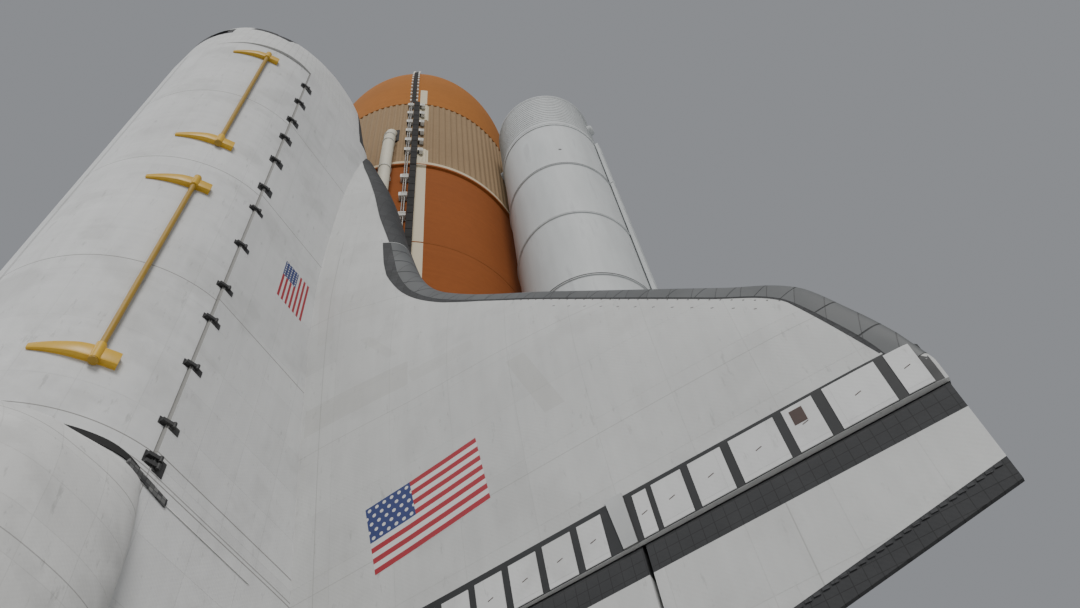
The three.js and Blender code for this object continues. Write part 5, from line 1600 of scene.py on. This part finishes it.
def boosters():
    parts = boosterPieces()
    pivot, skirtX, floorX = booster["pivot"], booster["skirt"], layout["floorX"]
    inside = boosterTurned([(skirtX - 1, 0), (skirtX - 1, 69.9), (1650, 71.4), (1668, 80.4), (1716, 97.4),
                            (floorX + 3, 100.4), (floorX + 3, 0)])
    below = boxPart(floorX, floorX + 20, 0, 400, -100, 250)
    keep = boosterTurned([(1654, 0), (1654, 30), (1690, 30), (1690, 0)])
    for side, sign in signs.items():
        white = boosterSkin("boosterPaint_" + side, sign * booster["y"])
        for name, node in (("Case", "case"), ("Nose", "nose"), ("Forward", "forward_skirt"),
                           ("Skirt", "aft_skirt")):
            piece = place("booster%sShell_%s" % (name, side), handed(side, parts[name]), white,
                          "booster_paint", nodes=["booster_%s_%s" % (node, side)])
        cut(piece, *handed(side, [inside, below]))
        place("boosterTunnelRun_" + side, handed(side, parts["Tunnel"]), white, "booster_paint",
              nodes=["booster_tunnel_" + side])
        portDark = paintSkin("portDark_" + side, finishes["dark"])
        place("boosterPort_" + side, handed(side, parts["Port"]), portDark, "dark_tray")
        liner = paintSkin("nozzleLiner_" + side, (0.05, 0.048, 0.045), 0.8)
        node = "booster_nozzle_" + side
        nozzle = handed(side, parts["Nozzle"])
        place("boosterNozzleShell_" + side, nozzle, liner, "charred_liner", node, [node])
        coat("booster_attach_ring_" + side, white)
        seat = pinPart(pivot, sign * (booster["y"] - 60), sign * (booster["y"] + 60), tank["z"], 36, None, 72)
        dome = gathered("boosterPivot_" + side, [seat], metalSkin("pivotMetal_" + side, finishes["steel"]))
        cut(dome, *handed(side, [keep]), operation="INTERSECT")
        carry(dome)


boosters()
print("boosters done")

# Banded emblem patches: thirteen stripes with a starred corner, on the wing and on the body's sides
emblem = {"wing": ((1267, 158), (1258, 235.5), (1309, 240), (1317.5, 164)), "side": (991, 1047, 341, 370),
          "out": 105.08,
          "red": (0.35, 0.022, 0.035), "white": (0.62, 0.61, 0.60), "blue": (0.028, 0.045, 0.16),
          "corner": 0.40}


def emblemSkin(sh, u, v):
    stripe = (v * 13).floor() % 2
    color = sh.mix(stripe, emblem["red"], emblem["white"])
    corner = (u < emblem["corner"]) * (v < 7 / 13)
    down5 = v * (13 / 7) * 5
    odd = (down5.floor() % 2) * 0.5
    cellX = (u / emblem["corner"] * 6 + odd) % 1.0 - 0.5
    cellY = down5 % 1.0 - 0.5
    star = (cellX * cellX + cellY * cellY) < 0.055
    color = sh.mix(corner, color, sh.mix(star, emblem["blue"], emblem["white"]))
    wear = sh.noise(9.0, 5)
    return sh.finish(sh.shade(color, wear * 0.2 + 0.9), 0.55 + wear * 0.2, wear, 0.0004)


def emblems():
    a, b, _, d = [Vector(corner) for corner in emblem["wing"]]
    spanwise, aftwise = b - a, d - a
    turn = spanwise.x * aftwise.y - spanwise.y * aftwise.x
    sh = Shader("wingEmblemPaint")
    u = ((sh.x - a.x) * aftwise.y - (sh.y - a.y) * aftwise.x) / turn
    v = ((sh.y - a.y) * spanwise.x - (sh.x - a.x) * spanwise.y) / turn
    place("wingEmblem", [topPatch(emblem["wing"], 0.10, 0.2, 24, 16)], emblemSkin(sh, u, v))
    x0, x1, z0, z1 = emblem["side"]
    for side, sign in signs.items():
        sh = Shader("sideEmblemPaint_" + side)
        paint = emblemSkin(sh, (sh.x - x0) / (x1 - x0), (z1 - sh.z) / (z1 - z0))
        out = emblem["out"]
        plate = boxPart(x0, x1, *sorted((sign * (out - 0.3), sign * out)), z0, z1)
        place("sideEmblem_" + side, [plate], paint)


emblems()

# What stays as the frame has it gets its finish here
coat("flight_deck", paintSkin("deckPaint", (0.12, 0.12, 0.12), 0.7))
coat("cabin_windows", glassSkin("cabinGlass"))
